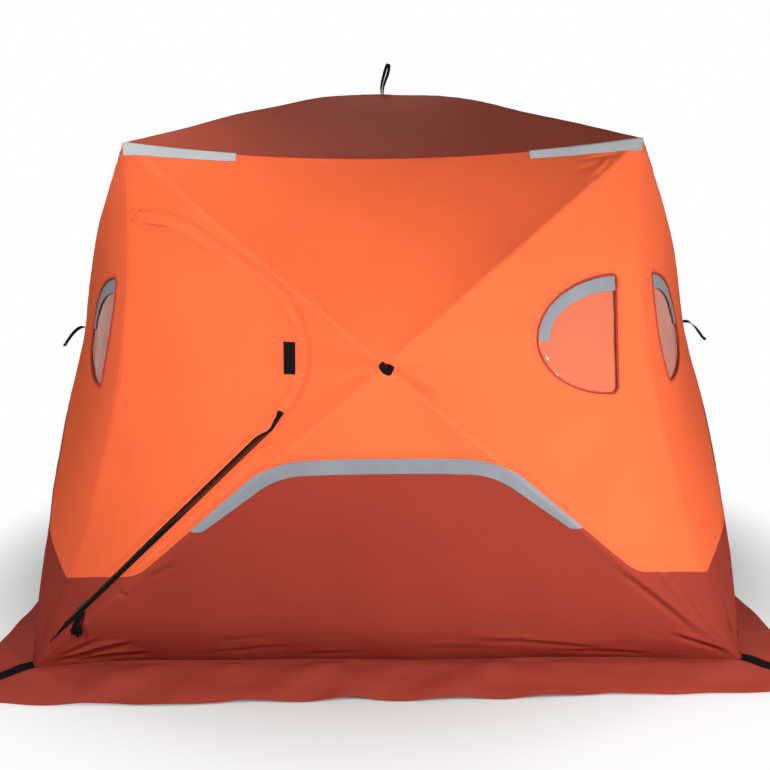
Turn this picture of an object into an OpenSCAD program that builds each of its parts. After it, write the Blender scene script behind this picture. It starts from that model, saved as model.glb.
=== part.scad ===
// Pop-up ice fishing hut: four hub-braced fabric walls, a fabric roof, a snow skirt and a zipped door flap.
// Millimetres. The origin is on the floor under the roof hub, +Z is up and the door wall faces -Y.

/* [Overall size] */
// Side of the square footprint along the wall hems
base_w = 2200; // [1900:10:2500]
// Side of the square where the walls meet the roof
eave_w = 1624; // [1450:4:1800]
// Height of the roof corners
eave_h = 1605; // [1450:5:1750]
// Height of the roof hub
roof_h = 1888; // [1780:4:2050]
// Distance between the hubs of opposite walls
hub_span = 2528; // [2380:4:2700]
// Height of the wall hubs
hub_h = 958; // [880:2:1040]
// Width of the skirt that lies on the floor
skirt_w = 180; // [120:5:260]

/* [Fabric] */
// Thickness the fabric is modelled with
fabric_t = 5; // [3:0.5:7]
// Thickness of reflective tape, webbing and piping
tape_t = 2.5; // [1.5:0.5:4]
// Gap that keeps laid-on pieces off the fabric under them
seat = 0.3; // [0.1:0.1:0.5]
// How far the corner edges are drawn inwards half way up
edge_bow = 85; // [40:5:110]
// How far the eaves hang below their corners
eave_sag = 50; // [20:5:70]
// How far the eaves are drawn inwards
eave_draw = 35; // [10:5:60]
// How far the wall poles push the fabric outwards
pole_bow = 30; // [10:2:50]
// How far the roof poles push the fabric upwards
roof_bow = 26; // [10:2:40]
// Steps along each edge of a wall
edge_steps = 8; // [6:1:12]
// Steps from a hub to the edge
rise_steps = 6; // [4:1:10]

/* [Colour split] */
// Height of the split near the wall corners, as a part of the hub height
split_low = 0.2764; // [0.24:0.002:0.30]
// Half width where that height is measured, as a part of half the base
split_half = 0.895; // [0.85:0.005:0.93]
// Height of the split where it turns up the pole
split_turn = 0.3418; // [0.30:0.002:0.40]
// Height of the flat top of the split
split_top = 0.7204; // [0.66:0.002:0.76]
// Half width at the turn, as a part of half the base
turn_half = 0.668; // [0.62:0.002:0.70]
// Half width at the shoulder
shoulder_half = 0.291; // [0.25:0.001:0.33]
// Rounding of the split's turns
split_round = 130; // [60:5:180]
// Width of the reflective strip under the split
strip_w = 46; // [25:1:60]
// Height of the strip's ends, as a part of the hub height
strip_end = 0.4976; // [0.45:0.002:0.55]
// How far the strip's lower corners stand in from its upper ones, in strip widths
strip_in = [0.8, 0.4];

/* [Door] */
// Clear gap all around the door
door_gap = 8; // [7:0.5:12]
// Door corner at the top of the hinge line, as parts of half the base and the eave height
door_head = [-0.664, 0.872];
// Bend in the door's upper edge
door_bend = [-0.5545, 0.863];
// Point the two long edges of the door run to
door_nose = [-0.047, 0.6374];
// Door corner at the bottom of the hinge line
door_toe = [-0.8955, 0.0847];
// Rounding of the bend
bend_r = 250; // [150:10:300]
// Rounding of the nose
nose_r = 257; // [200:1:290]
// Rounding of the hinge side corners
hinge_corner_r = 12; // [10:1:20]
// Width of the storm flap over the zip
flap_w = 31; // [20:1:50]
// Length of the sewn box the storm flap starts from
flap_box_l = 40; // [25:1:50]
// Width of the open part of the zip
zip_w = 20; // [12:1:30]
// Where the open part of the zip starts, in nose roundings from the nose point
zip_from = 1.44; // [1.3:0.01:1.6]
// Size of the hook-and-loop tab
tab_size = [34, 92];
// Distance of the tab from the storm flap's inner edge at the nose
tab_off = 12; // [8:1:20]
// Length of the zip pulls
pull_l = 60; // [40:2:90]
// Width of each zip pull
pull_w = 14; // [8:1:20]

/* [Windows] */
// Straight side of a window, as a part of half the base
window_side = 0.6636; // [0.63:0.002:0.69]
// Height of the window's middle, as a part of the eave height
window_mid = 0.629; // [0.60:0.002:0.66]
// Depth of the window from its straight side
window_w = 272; // [200:2:300]
// Half height of the window
window_half_h = 185; // [140:1:210]
// Width of the piping
piping_w = 8; // [5:0.5:12]
// Width of the reflective arch at its end
arch_w = 38; // [20:1:50]
// Width of the reflective arch at its top
arch_top_w = 58; // [30:1:70]
// Thickness of the clear film
film_t = 2; // [1.5:0.5:2.5]
// Gap beside the blind at the straight side
blind_gap = 8; // [5:1:15]
// How far the blind laps onto the wall
blind_lap = 12; // [8:1:20]

/* [Corner tape] */
// Length of the reflective tape from a roof corner, as a part of the eave
tape_run = 0.215; // [0.12:0.005:0.30]
// Width of the corner tape, as a part of the run from hub to eave
tape_part = 0.045; // [0.03:0.005:0.07]

/* [Frame] */
// Radius of the poles
pole_r = 5.5; // [4:0.5:6]
// Radius of the hubs
hub_r = 26; // [22:1:28]
// Thickness of the hubs
hub_t = 24; // [18:1:26]
// Distance from a hub's middle to the fabric tip
hub_inset = 42; // [40:1:48]
// Radius of the corner pockets that hold the pole ends
pocket_r = 15; // [14:0.5:16]
// Distance of the pockets from the fabric corner
pocket_inset = 27; // [26:1:32]

/* [Straps] */
// Width of the pull straps
strap_w = 20; // [14:1:26]
// Reach of a pull strap from its hub
strap_reach = 110; // [80:2:140]
// Length of a pull strap's level part
strap_stem = 26; // [15:1:40]
// Drop of the hanging pull straps
strap_drop = 85; // [50:5:110]
// Width of the anchor straps
anchor_w = 25; // [18:1:32]
// Length of the anchor straps
anchor_l = 215; // [150:5:240]
// Radius of the anchor strap eyelets
eyelet_r = 6; // [4:0.5:8]

/* [Hidden] */
$fn = 48;
base_half = base_w / 2;
eave_half = eave_w / 2;
hub_half = hub_span / 2;
hem_z = fabric_t;
reach = 2 * base_w;
fillet_steps = 7;
ellipse_steps = 28;
laid = [-seat - tape_t, -seat];
film_in = 1.6;
arch_t = 1.1;
blind_t = 3;
strap_t = 4;
pull_off = 6;
pole_rest = 12;
skirt_lap = 45;
tape_stop = 0.004;

orange = [1.0, 0.42, 0.2];
dark_red = [0.55, 0.2, 0.16];
grey_tape = [0.62, 0.66, 0.7];
black_web = [0.08, 0.08, 0.08];
clear_film = [0.75, 0.72, 0.7, 0.4];
pole_grey = [0.25, 0.26, 0.28];

// Helpers for points and outlines
function lerp(a, b, t) = a * (1 - t) + b * t;
function swell(t) = 4 * t * (1 - t);
function unit(v) = v / norm(v);
function left_of(v) = [-v[1], v[0]];
function turned(p, q) = q == 0 ? p : turned([p[1], -p[0], p[2]], q - 1);
function at_wall(f) = [f[0] * base_half, f[1] * eave_h];

// Corner k of the door wall at an inset: 0 top left, 1 top right, 2 bottom right, 3 bottom left
function corner(k, inset) =
    k == 0 ? [-(eave_half - inset), -(eave_half - inset), eave_h - inset]
    : k == 1 ? [eave_half - inset, -(eave_half - inset), eave_h - inset]
    : k == 2 ? [base_half - inset, -(base_half - inset), hem_z]
    : [-(base_half - inset), -(base_half - inset), hem_z];
function edge_pull(k) =
    k == 0 ? [0, eave_draw, -eave_sag]
    : k == 1 ? [-edge_bow, edge_bow, 0]
    : k == 2 ? [0, 0, 0]
    : [edge_bow, edge_bow, 0];
function edge_point(k, s, inset) =
    lerp(corner(k, inset), corner((k + 1) % 4, inset), s) + edge_pull(k) * swell(s);
function wall_point(k, s, t, inset) =
    lerp([0, -(hub_half - inset), hub_h], edge_point(k, s, inset), t)
    + [0, -pole_bow * swell(t) * pow(2 * s - 1, 2), 0];
function roof_point(q, s, t, inset) =
    lerp([0, 0, roof_h - inset], turned(edge_point(0, 1 - s, inset), q), t)
    + [0, 0, roof_bow * swell(t) * pow(2 * s - 1, 2)];

// A vertex [x, y, r] between its neighbours, rounded with radius r
function fillet(a, v, b) =
    let (p = [v[0], v[1]], u = unit([a[0], a[1]] - p), w = unit([b[0], b[1]] - p),
        half = acos(min(1, max(-1, u * w))) / 2, run = v[2] / tan(half),
        mid = p + unit(u + w) * v[2] / sin(half),
        start = p + u * run - mid, stop = p + w * run - mid,
        side = start[0] * stop[1] - start[1] * stop[0] > 0 ? 1 : -1, sweep = 180 - 2 * half)
    [for (i = [0 : fillet_steps]) let (g = side * sweep * i / fillet_steps)
        mid + [start[0] * cos(g) - start[1] * sin(g), start[0] * sin(g) + start[1] * cos(g)]];
function rounded(v) =
    let (n = len(v))
    [for (i = [0 : n - 1])
        each (v[i][2] > 0 ? fillet(v[(i + n - 1) % n], v[i], v[(i + 1) % n]) : [[v[i][0], v[i][1]]])];

// The same vertices moved inwards by d: clockwise outline, with its roundings kept parallel
function shrunk(v, d) =
    let (n = len(v))
    [for (i = [0 : n - 1])
        let (p = [v[i][0], v[i][1]],
            a = [v[(i + n - 1) % n][0], v[(i + n - 1) % n][1]],
            b = [v[(i + 1) % n][0], v[(i + 1) % n][1]],
            na = -left_of(unit(p - a)), nb = -left_of(unit(b - p)),
            q = p + (na + nb) * d / (1 + na * nb))
        [q[0], q[1], max(v[i][2] - d, 1)]];

door_vertices = [
    [at_wall(door_head)[0], at_wall(door_head)[1], hinge_corner_r],
    [at_wall(door_bend)[0], at_wall(door_bend)[1], bend_r],
    [at_wall(door_nose)[0], at_wall(door_nose)[1], nose_r],
    [at_wall(door_toe)[0], at_wall(door_toe)[1], hinge_corner_r]];
zip_run = unit(at_wall(door_toe) - at_wall(door_nose));
zip_in = -left_of(zip_run);
zip_start = at_wall(door_nose) + zip_run * nose_r * zip_from;
zip_stop = at_wall(door_toe) - zip_run * 3 * zip_w;
hinge_run = unit(at_wall(door_toe) - at_wall(door_head));
hinge_out = -left_of(hinge_run);
flap_inner = rounded(shrunk(door_vertices, door_gap + flap_w));
nose_x = max([for (p = flap_inner) p[0]]);
nose_z = [for (p = flap_inner) if (p[0] == nose_x) p[1]][0];

// A patch of one wall face between two insets, over a range of the edge and of the run from the hub
module wall_patch(k, s_range, t_range, insets, ns, nt) {
    outer = [for (j = [0 : nt]) for (i = [0 : ns])
        wall_point(k, lerp(s_range[0], s_range[1], i / ns), lerp(t_range[0], t_range[1], j / nt), insets[0])];
    inner = [for (j = [0 : nt]) for (i = [0 : ns])
        wall_point(k, lerp(s_range[0], s_range[1], i / ns), lerp(t_range[0], t_range[1], j / nt), insets[1])];
    row = ns + 1;
    m = row * (nt + 1);
    faces = concat(
        [for (j = [0 : nt - 1]) for (i = [0 : ns - 1]) let (a = j * row + i) each
            [[a, a + row, a + row + 1], [a, a + row + 1, a + 1],
                [m + a, m + a + row + 1, m + a + row], [m + a, m + a + 1, m + a + row + 1]]],
        [for (i = [0 : ns - 1]) let (a = i, b = nt * row + i) each
            [[a, a + 1, m + a + 1], [a, m + a + 1, m + a], [b + 1, b, m + b], [b + 1, m + b, m + b + 1]]],
        [for (j = [0 : nt - 1]) let (a = j * row, b = j * row + ns) each
            [[a + row, a, m + a], [a + row, m + a, m + a + row],
                [b, b + row, m + b + row], [b, m + b + row, m + b]]]);
    polyhedron(concat(outer, inner), faces);
}

// A closed cap around a hub, from its rings of outer and inner points
module cap(hub_out, hub_in, outer, inner, n, rings) {
    m = 1 + n * rings;
    faces = concat(
        [for (i = [0 : n - 1]) let (b = (i + 1) % n) each
            [[0, 1 + i, 1 + b], [m, m + 1 + b, m + 1 + i]]],
        [for (j = [0 : rings - 2]) for (i = [0 : n - 1])
            let (b = (i + 1) % n, a0 = 1 + j * n + i, a1 = 1 + j * n + b, c0 = a0 + n, c1 = a1 + n) each
            [[a0, c0, c1], [a0, c1, a1], [m + a0, m + c1, m + c0], [m + a0, m + a1, m + c1]]],
        [for (i = [0 : n - 1])
            let (b = (i + 1) % n, e0 = 1 + (rings - 1) * n + i, e1 = 1 + (rings - 1) * n + b) each
            [[e1, e0, m + e0], [e1, m + e0, m + e1]]]);
    polyhedron(concat([hub_out], outer, [hub_in], inner), faces);
}

function wall_ring(inset) = [for (j = [1 : rise_steps]) for (k = [0 : 3]) for (i = [0 : edge_steps - 1])
    wall_point(k, i / edge_steps, j / rise_steps, inset)];
function roof_ring(inset) = [for (j = [1 : rise_steps]) for (q = [0 : 3]) for (i = [0 : edge_steps - 1])
    roof_point(q, i / edge_steps, j / rise_steps, inset)];

module wall_shell() {
    cap([0, -hub_half, hub_h], [0, -(hub_half - fabric_t), hub_h],
        wall_ring(0), wall_ring(fabric_t), 4 * edge_steps, rise_steps);
}

// One whole face of the door wall as a layer on the wall's own grid, from the first step out from the hub
module face_layer(k, insets) {
    wall_patch(k, [0, 1], [1 / rise_steps, 1], insets, edge_steps, rise_steps - 1);
}

// A flat outline in wall coordinates, cut right through the wall
module through(outline) {
    rotate([90, 0, 0])
        linear_extrude(reach)
            polygon(outline);
}

// The lower boundary is straight from the wall corner to the turn
function lower_outline() =
    let (slope = (split_turn - split_low) * hub_h / ((split_half - turn_half) * base_half),
        far = split_turn * hub_h - slope * (reach - turn_half * base_half))
    rounded([
        [-reach, far, 0],
        [-turn_half * base_half, split_turn * hub_h, split_round],
        [-shoulder_half * base_half, split_top * hub_h, split_round],
        [shoulder_half * base_half, split_top * hub_h, split_round],
        [turn_half * base_half, split_turn * hub_h, split_round],
        [reach, far, 0],
        [reach, -2 * reach, 0],
        [-reach, -2 * reach, 0]]);

function half_ellipse(side, w, h, dx) =
    [for (i = [0 : ellipse_steps]) let (g = 90 + 180 * i / ellipse_steps)
        [side * (window_side * base_half + dx + w * cos(g)), window_mid * eave_h + h * sin(g)]];

module wall_upper(side, door) {
    difference() {
        wall_shell();
        through(lower_outline());
        through(half_ellipse(side, window_w, window_half_h, 0));
        if (door) through(rounded(door_vertices));
    }
}

module wall_lower(door) {
    difference() {
        intersection() {
            wall_shell();
            through(lower_outline());
        }
        if (door) through(rounded(door_vertices));
    }
}

// Walls by name: turn about Z and the side their window is on, seen from outside
module on_left() {
    rotate([0, 0, -90])
        children();
}
module on_right() {
    rotate([0, 0, 90])
        children();
}
module on_back() {
    rotate([0, 0, 180])
        children();
}

module roof_panel() {
    color(dark_red)
        translate([0, 0, seat])
            cap([0, 0, roof_h], [0, 0, roof_h - fabric_t],
                roof_ring(0), roof_ring(fabric_t), 4 * edge_steps, rise_steps);
}

module front_upper_panel() {
    color(orange)
        wall_upper(1, true);
}

module front_lower_panel() {
    color(dark_red)
        wall_lower(true);
}

module left_upper_panel() {
    color(orange)
        on_left() wall_upper(1, false);
}

module left_lower_panel() {
    color(dark_red)
        on_left() wall_lower(false);
}

module right_upper_panel() {
    color(orange)
        on_right() wall_upper(-1, false);
}

module right_lower_panel() {
    color(dark_red)
        on_right() wall_lower(false);
}

module back_upper_panel() {
    color(orange)
        on_back() wall_upper(1, false);
}

module back_lower_panel() {
    color(dark_red)
        on_back() wall_lower(false);
}

module snow_skirt() {
    outer = base_w + 2 * skirt_w;
    inner = base_w - 2 * skirt_lap;
    color(dark_red)
        difference() {
            translate([-outer / 2, -outer / 2, 0])
                cube([outer, outer, fabric_t]);
            translate([-inner / 2, -inner / 2, -fabric_t])
                cube([inner, inner, 3 * fabric_t]);
        }
}

// Reflective strip under the flat top of the split, in the wall's bottom face
module strip() {
    rise = (split_top - split_turn) * hub_h / ((turn_half - shoulder_half) * base_half);
    end_z = strip_end * hub_h;
    end_x = turn_half * base_half - (end_z - split_turn * hub_h) / rise;
    in_x = end_x - strip_w * strip_in[0];
    shoulder = shoulder_half * base_half;
    top_z = split_top * hub_h;
    upper = [[-end_x, end_z, 0], [-shoulder, top_z, split_round],
        [shoulder, top_z, split_round], [end_x, end_z, 0]];
    lower = [[in_x, end_z, 0], [shoulder - strip_w * strip_in[1], top_z - strip_w, split_round],
        [-shoulder + strip_w * strip_in[1], top_z - strip_w, split_round], [-in_x, end_z, 0]];
    color(grey_tape)
        intersection() {
            face_layer(2, laid);
            through(rounded(concat(upper, lower)));
        }
}

module strip_front() {
    strip();
}

module strip_left() {
    on_left() strip();
}

module strip_right() {
    on_right() strip();
}

module strip_back() {
    on_back() strip();
}

module corner_tapes() {
    color(grey_tape)
        for (turn = [0 : 90 : 270])
            for (span = [[tape_stop, tape_run], [1 - tape_run, 1 - tape_stop]])
                rotate([0, 0, turn])
                    intersection() {
                        face_layer(0, laid);
                        wall_patch(0, span, [1 - tape_part, 1 - tape_stop], [-fabric_t, fabric_t], edge_steps, 1);
                    }
}

// One piece for each of the four windows
module at_windows() {
    for (wall = [[0, 1], [-90, 1], [90, -1], [180, 1]])
        rotate([0, 0, wall[0]]) {
            $side = wall[1];
            children();
        }
}

module window_layer(insets, outline) {
    intersection() {
        face_layer($side > 0 ? 1 : 3, insets);
        through(outline);
    }
}

module window_piping() {
    outer = piping_w;
    color(dark_red)
        at_windows()
            intersection() {
                face_layer($side > 0 ? 1 : 3, laid);
                rotate([90, 0, 0])
                    linear_extrude(reach)
                        difference() {
                            polygon(half_ellipse($side, window_w + 2 * outer, window_half_h + outer, outer));
                            polygon(half_ellipse($side, window_w, window_half_h, 0));
                        }
            }
}

module window_arches() {
    edge = 1.5;
    color(grey_tape)
        at_windows()
            difference() {
                window_layer([film_in - seat - arch_t, film_in - seat],
                    half_ellipse($side, window_w - 2 * edge, window_half_h - edge, -edge));
                through(half_ellipse($side, window_w - arch_w, window_half_h - arch_top_w, piping_w));
                through([[$side * -reach, 0], [$side * reach, 0],
                    [$side * reach, window_mid * eave_h], [$side * -reach, window_mid * eave_h]]);
            }
}

module window_films() {
    edge = 0.5;
    color(clear_film)
        at_windows()
            window_layer([film_in, film_in + film_t],
                half_ellipse($side, window_w - 2 * edge, window_half_h - edge, -edge));
}

module window_blinds() {
    color(orange)
        at_windows()
            window_layer([fabric_t + seat, fabric_t + seat + blind_t],
                half_ellipse($side, window_w + blind_lap - blind_gap, window_half_h + blind_lap, -blind_gap));
}

module door_layer(insets) {
    intersection() {
        face_layer(3, insets);
        through(rounded(shrunk(door_vertices, door_gap)));
    }
}

// Box sewn to the wall at the head of the hinge line, where the storm flap starts
module flap_box() {
    a = at_wall(door_head) + hinge_run * door_gap + hinge_out * seat;
    b = a + hinge_run * flap_w;
    color(orange)
        intersection() {
            face_layer(3, laid);
            through([a, b, b + hinge_out * flap_box_l, a + hinge_out * flap_box_l]);
        }
}

module door_upper_panel() {
    color(orange)
        difference() {
            door_layer([0, fabric_t]);
            through(lower_outline());
        }
}

module door_lower_panel() {
    color(dark_red)
        intersection() {
            door_layer([0, fabric_t]);
            through(lower_outline());
        }
}

// Storm flap along the door's upper edge and nose, on the door's outside; it reaches back to the hinge line
module door_storm_flap() {
    outline = rounded(shrunk(door_vertices, door_gap));
    hinge_shift = [seat - door_gap, 0];
    shift = [-2 * flap_w, 0];
    cut = zip_start - zip_in * reach;
    color(orange)
        difference() {
            intersection() {
                face_layer(3, laid);
                union() {
                    through(outline);
                    through([for (p = outline) p + hinge_shift]);
                }
            }
            through(flap_inner);
            through([for (p = flap_inner) p + shift]);
            through([cut, zip_start + zip_in * reach, zip_start + zip_in * reach + zip_run * reach,
                cut + zip_run * reach]);
        }
}

// Open run of the zip along the door's lower edge
module door_zip() {
    low = door_gap + 1;
    high = low + zip_w;
    from = zip_start + zip_run * zip_w / 4;
    color(black_web)
        intersection() {
            face_layer(3, laid);
            through([from + zip_in * low, from + zip_in * high, zip_stop + zip_in * high, zip_stop + zip_in * low]);
        }
}

module door_tab() {
    h = tab_size / 2;
    c = [nose_x - tab_off - h[0], nose_z];
    color(black_web)
        intersection() {
            face_layer(3, laid);
            through([c + [-h[0], -h[1]], c + [-h[0], h[1]], c + h, c + [h[0], -h[1]]]);
        }
}

// Two zip pulls side by side: each sits on the zip and hangs clear of the wall below it
module door_pulls() {
    low = door_gap + 2;
    color(black_web)
        for (i = [0, 1]) {
            a = zip_stop - zip_run * (1 + 2 * i) * pull_w;
            b = a - zip_run * pull_w;
            union() {
                intersection() {
                    face_layer(3, [-pull_off - tape_t, -2 * seat - tape_t]);
                    through([a + zip_in * low, a + zip_in * (low + pull_w),
                        b + zip_in * (low + pull_w), b + zip_in * low]);
                }
                intersection() {
                    face_layer(3, [-pull_off - 2 * tape_t, -pull_off - tape_t]);
                    through([a + zip_in * (low + pull_w), b + zip_in * (low + pull_w),
                        b + zip_in * (low + pull_w - pull_l), a + zip_in * (low + pull_w - pull_l)]);
                }
            }
        }
}

// A bowed pole from a hub's middle to a pocket's middle, ending just off both
module bowed_pole(p, q, out, sag) {
    chord = norm(q - p);
    u = (q - p) / chord;
    w = unit(out - u * (out * u));
    n = cross(u, w);
    bend = chord * chord / (8 * sag) + sag / 2;
    half = asin(chord / 2 / bend);
    mid = (p + q) / 2 - w * (bend - sag);
    deg = 180 / PI / bend;
    rise = abs((u * cos(half) + w * sin(half)) * out);
    back_p = (hub_r + seat + pole_r * rise) / sqrt(1 - rise * rise);
    back_q = pocket_r + seat;
    multmatrix([[u[0], w[0], n[0], mid[0]], [u[1], w[1], n[1], mid[1]], [u[2], w[2], n[2], mid[2]], [0, 0, 0, 1]])
        rotate([0, 0, 90 - half + back_q * deg])
            rotate_extrude(angle = 2 * half - (back_p + back_q) * deg)
                translate([bend, 0])
                    circle(pole_r);
}

function pocket_at(k) = k < 2 ? corner(k, pocket_inset)
    : [corner(k, pocket_inset)[0], corner(k, pocket_inset)[1], hem_z + pocket_r + seat];

module wall_poles() {
    color(pole_grey)
        for (k = [0 : 3])
            bowed_pole([0, -(hub_half - hub_inset), hub_h], pocket_at(k), [0, -1, 0], pole_bow + pole_rest);
}

module front_poles() {
    wall_poles();
}

module left_poles() {
    on_left() wall_poles();
}

module right_poles() {
    on_right() wall_poles();
}

module back_poles() {
    on_back() wall_poles();
}

module roof_poles() {
    color(pole_grey)
        for (q = [0 : 3])
            bowed_pole([0, 0, roof_h - hub_inset], turned(pocket_at(0), q), [0, 0, 1], roof_bow + pole_rest);
}

module hubs() {
    color(black_web) {
        for (turn = [0 : 90 : 270])
            rotate([0, 0, turn])
                translate([0, -(hub_half - hub_inset), hub_h])
                    rotate([90, 0, 0])
                        cylinder(r = hub_r, h = hub_t, center = true);
        translate([0, 0, roof_h - hub_inset])
            cylinder(r = hub_r, h = hub_t, center = true);
    }
}

module roof_pockets() {
    color(black_web)
        for (q = [0 : 3])
            translate(turned(pocket_at(0), q))
                sphere(r = pocket_r);
}

module foot_pockets() {
    color(black_web)
        for (q = [0 : 3])
            translate(turned(pocket_at(3), q))
                sphere(r = pocket_r);
}

// Pull strap that stands straight out along +X from the origin
module straight_strap() {
    color(black_web)
        translate([seat, -strap_w / 2, -strap_t / 2])
            cube([strap_reach - seat, strap_w, strap_t]);
}

// Pull strap that leaves along +X and then hangs
module hanging_strap() {
    lean = unit([strap_reach - strap_stem, -strap_drop]);
    across = left_of(lean) * strap_t;
    knee = [strap_stem, strap_t / 2];
    tip = [strap_reach - across[0] / 2, strap_t / 2 - strap_drop];
    color(black_web)
        rotate([90, 0, 0])
            translate([0, 0, -strap_w / 2])
                linear_extrude(strap_w)
                    polygon([[seat, strap_t / 2], knee, tip, tip - across,
                        [strap_stem - strap_t * 0.6, -strap_t / 2], [seat, -strap_t / 2]]);
}

module front_strap() {
    translate([0, -hub_half, hub_h])
        rotate([0, 0, -90])
            straight_strap();
}

module left_strap() {
    translate([-hub_half, 0, hub_h])
        rotate([0, 0, 180])
            hanging_strap();
}

module right_strap() {
    translate([hub_half, 0, hub_h])
        hanging_strap();
}

module back_strap() {
    translate([0, hub_half, hub_h])
        rotate([0, 0, 90])
            hanging_strap();
}

module roof_strap() {
    translate([0, 0, roof_h + seat])
        rotate([0, -90, 0])
            straight_strap();
}

// Anchor straps laid on the skirt from each foot towards its corner, with an eyelet
module anchor_straps() {
    color(black_web)
        for (turn = [45 : 90 : 315])
            rotate([0, 0, turn])
                difference() {
                    translate([base_half * sqrt(2) + anchor_w / 4, -anchor_w / 2, fabric_t + seat])
                        cube([anchor_l, anchor_w, tape_t]);
                    translate([base_half * sqrt(2) + anchor_l - anchor_w / 2, 0, 0])
                        cylinder(r = eyelet_r, h = 4 * fabric_t);
                }
}

roof_panel();
front_upper_panel();
front_lower_panel();
left_upper_panel();
left_lower_panel();
right_upper_panel();
right_lower_panel();
back_upper_panel();
back_lower_panel();
snow_skirt();
strip_front();
strip_left();
strip_right();
strip_back();
corner_tapes();
window_piping();
window_arches();
window_films();
window_blinds();
flap_box();
door_upper_panel();
door_lower_panel();
door_storm_flap();
door_zip();
door_tab();
door_pulls();
front_poles();
left_poles();
right_poles();
back_poles();
roof_poles();
hubs();
roof_pockets();
foot_pockets();
front_strap();
left_strap();
right_strap();
back_strap();
roof_strap();
anchor_straps();
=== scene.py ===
import math
import bpy
import numpy as np
from mathutils import Matrix, Vector
from mathutils.geometry import delaunay_2d_cdt


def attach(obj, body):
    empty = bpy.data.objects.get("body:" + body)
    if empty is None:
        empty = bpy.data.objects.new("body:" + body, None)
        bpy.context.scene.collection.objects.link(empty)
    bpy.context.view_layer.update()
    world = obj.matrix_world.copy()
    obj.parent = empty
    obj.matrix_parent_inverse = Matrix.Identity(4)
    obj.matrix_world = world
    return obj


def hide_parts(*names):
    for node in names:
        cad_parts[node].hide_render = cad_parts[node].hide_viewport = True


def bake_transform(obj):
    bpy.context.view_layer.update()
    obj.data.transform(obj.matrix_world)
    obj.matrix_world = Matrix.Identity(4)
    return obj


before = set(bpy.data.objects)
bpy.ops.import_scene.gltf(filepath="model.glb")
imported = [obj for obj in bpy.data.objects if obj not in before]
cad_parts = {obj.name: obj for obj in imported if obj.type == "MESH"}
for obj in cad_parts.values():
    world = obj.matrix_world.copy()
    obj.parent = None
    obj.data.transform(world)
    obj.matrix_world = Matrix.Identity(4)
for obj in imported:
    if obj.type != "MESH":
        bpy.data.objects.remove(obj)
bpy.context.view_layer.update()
bpy.ops.object.select_all(action="DESELECT")

# Sizes of the hut in metres, as in the part's source; BASE, EAVE, HUB and the SKIRT values are half widths
BASE = 1.100
EAVE = 0.812
EAVE_H = 1.605
ROOF_H = 1.888
HUB = 1.264
HUB_H = 0.958
HEM = 0.005
EDGE_BOW = 0.085
EAVE_SAG = 0.050
EAVE_DRAW = 0.035
POLE_BOW = 0.030
ROOF_BOW = 0.026
SKIRT_IN = 1.030
SKIRT_OUT = 1.280

# Outlines on a wall: across and up, and the rounding of a corner where there is one
DOOR = [(-0.7304, 1.39956, 0.0), (-0.60995, 1.38512, 0.25),
        (-0.0517, 1.02303, 0.257), (-0.98505, 0.13594, 0.0)]
DOOR_GAP = 0.008
TURN = (0.7348, 0.32744)
TURN_ROUND = 0.200
SHOULDER = (0.3201, 0.69014)
SHOULDER_ROUND = 0.260
SPLIT_HALF = (0.9845, 0.26479)
SPLIT_FAR = 1.3
STRIP_W = 0.046
STRIP_TOP_END = 0.5641
STRIP_FOOT = (0.5273, 0.4767)
STRIP_SHOULDER = 0.3017
WIN_SIDE = 0.727
WIN_MID = 1.005
WIN_W = 0.270
WIN_H = 0.181

# The walls: how each is turned, on which side its window sits, and how far its faces belly out
TURNS = {"front": 0, "left": -90, "right": 90, "back": 180}
WINDOW_AT = {"front": 1, "left": 1, "right": -1, "back": 1}
FACE_BOW = {"front": 0.0, "left": 0.045, "right": 0.045, "back": 0.045, "roof": 0.012}

# Cloth: its thickness, and how fine the net of each panel is
CLOTH = 0.0014
STEP = {"front": 0.0080, "left": 0.014, "right": 0.014, "back": 0.016, "roof": 0.014, "door": 0.0062}


# Camera at the photograph's viewpoint, as fitted to it: its place, its tilt and roll in degrees, and its lens

CAMERA_AT = (0, -3.4, 1.262)
CAMERA_PITCH = 9.42
CAMERA_ROLL = 0.55
FOCAL_PIXELS = 800
PHOTO_PIXELS = 770
SENSOR_MM = 36


def set_camera():
    pitch = math.radians(CAMERA_PITCH)
    roll = math.radians(CAMERA_ROLL)
    ahead = Vector((0, math.cos(pitch), -math.sin(pitch)))
    level = Vector((1, 0, 0))
    down = Vector((0, -math.sin(pitch), -math.cos(pitch)))
    right = level * math.cos(roll) + down * math.sin(roll)
    below = down * math.cos(roll) - level * math.sin(roll)
    bpy.ops.object.camera_add()
    camera = bpy.context.object
    camera.data.sensor_width = SENSOR_MM
    camera.data.lens = FOCAL_PIXELS * SENSOR_MM / PHOTO_PIXELS
    turn = Matrix((right, -below, -ahead)).transposed()
    camera.matrix_world = Matrix.Translation(CAMERA_AT) @ turn.to_4x4()
    bpy.context.scene.camera = camera


set_camera()


# Lines and vectors

def ease(t):
    t = np.clip(t, 0, 1)
    return t * t * (3 - 2 * t)


def unit(v):
    return v / np.maximum(np.linalg.norm(v, axis=-1, keepdims=True), 1e-12)


def run_along(line):
    """How far each point lies from the first one, along the line."""
    return np.concatenate([[0], np.cumsum(np.linalg.norm(np.diff(line, axis=0), axis=1))])


def columns_at(at, run, line):
    return np.stack([np.interp(at, run, line[:, k]) for k in range(line.shape[1])], 1)


def spaced(line, count):
    """A line walked anew with so many even points."""
    line = np.asarray(line, float)
    run = run_along(line)
    return columns_at(np.linspace(0, run[-1], count), run, line)


def walk(line, step, closed=False):
    """A line walked anew in even steps of about that length."""
    line = np.asarray(line, float)
    if closed:
        line = np.vstack([line, line[:1]])
    count = max(2, int(round(run_along(line)[-1] / step)))
    out = spaced(line, count + 1)
    return out[:-1] if closed else out


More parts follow.
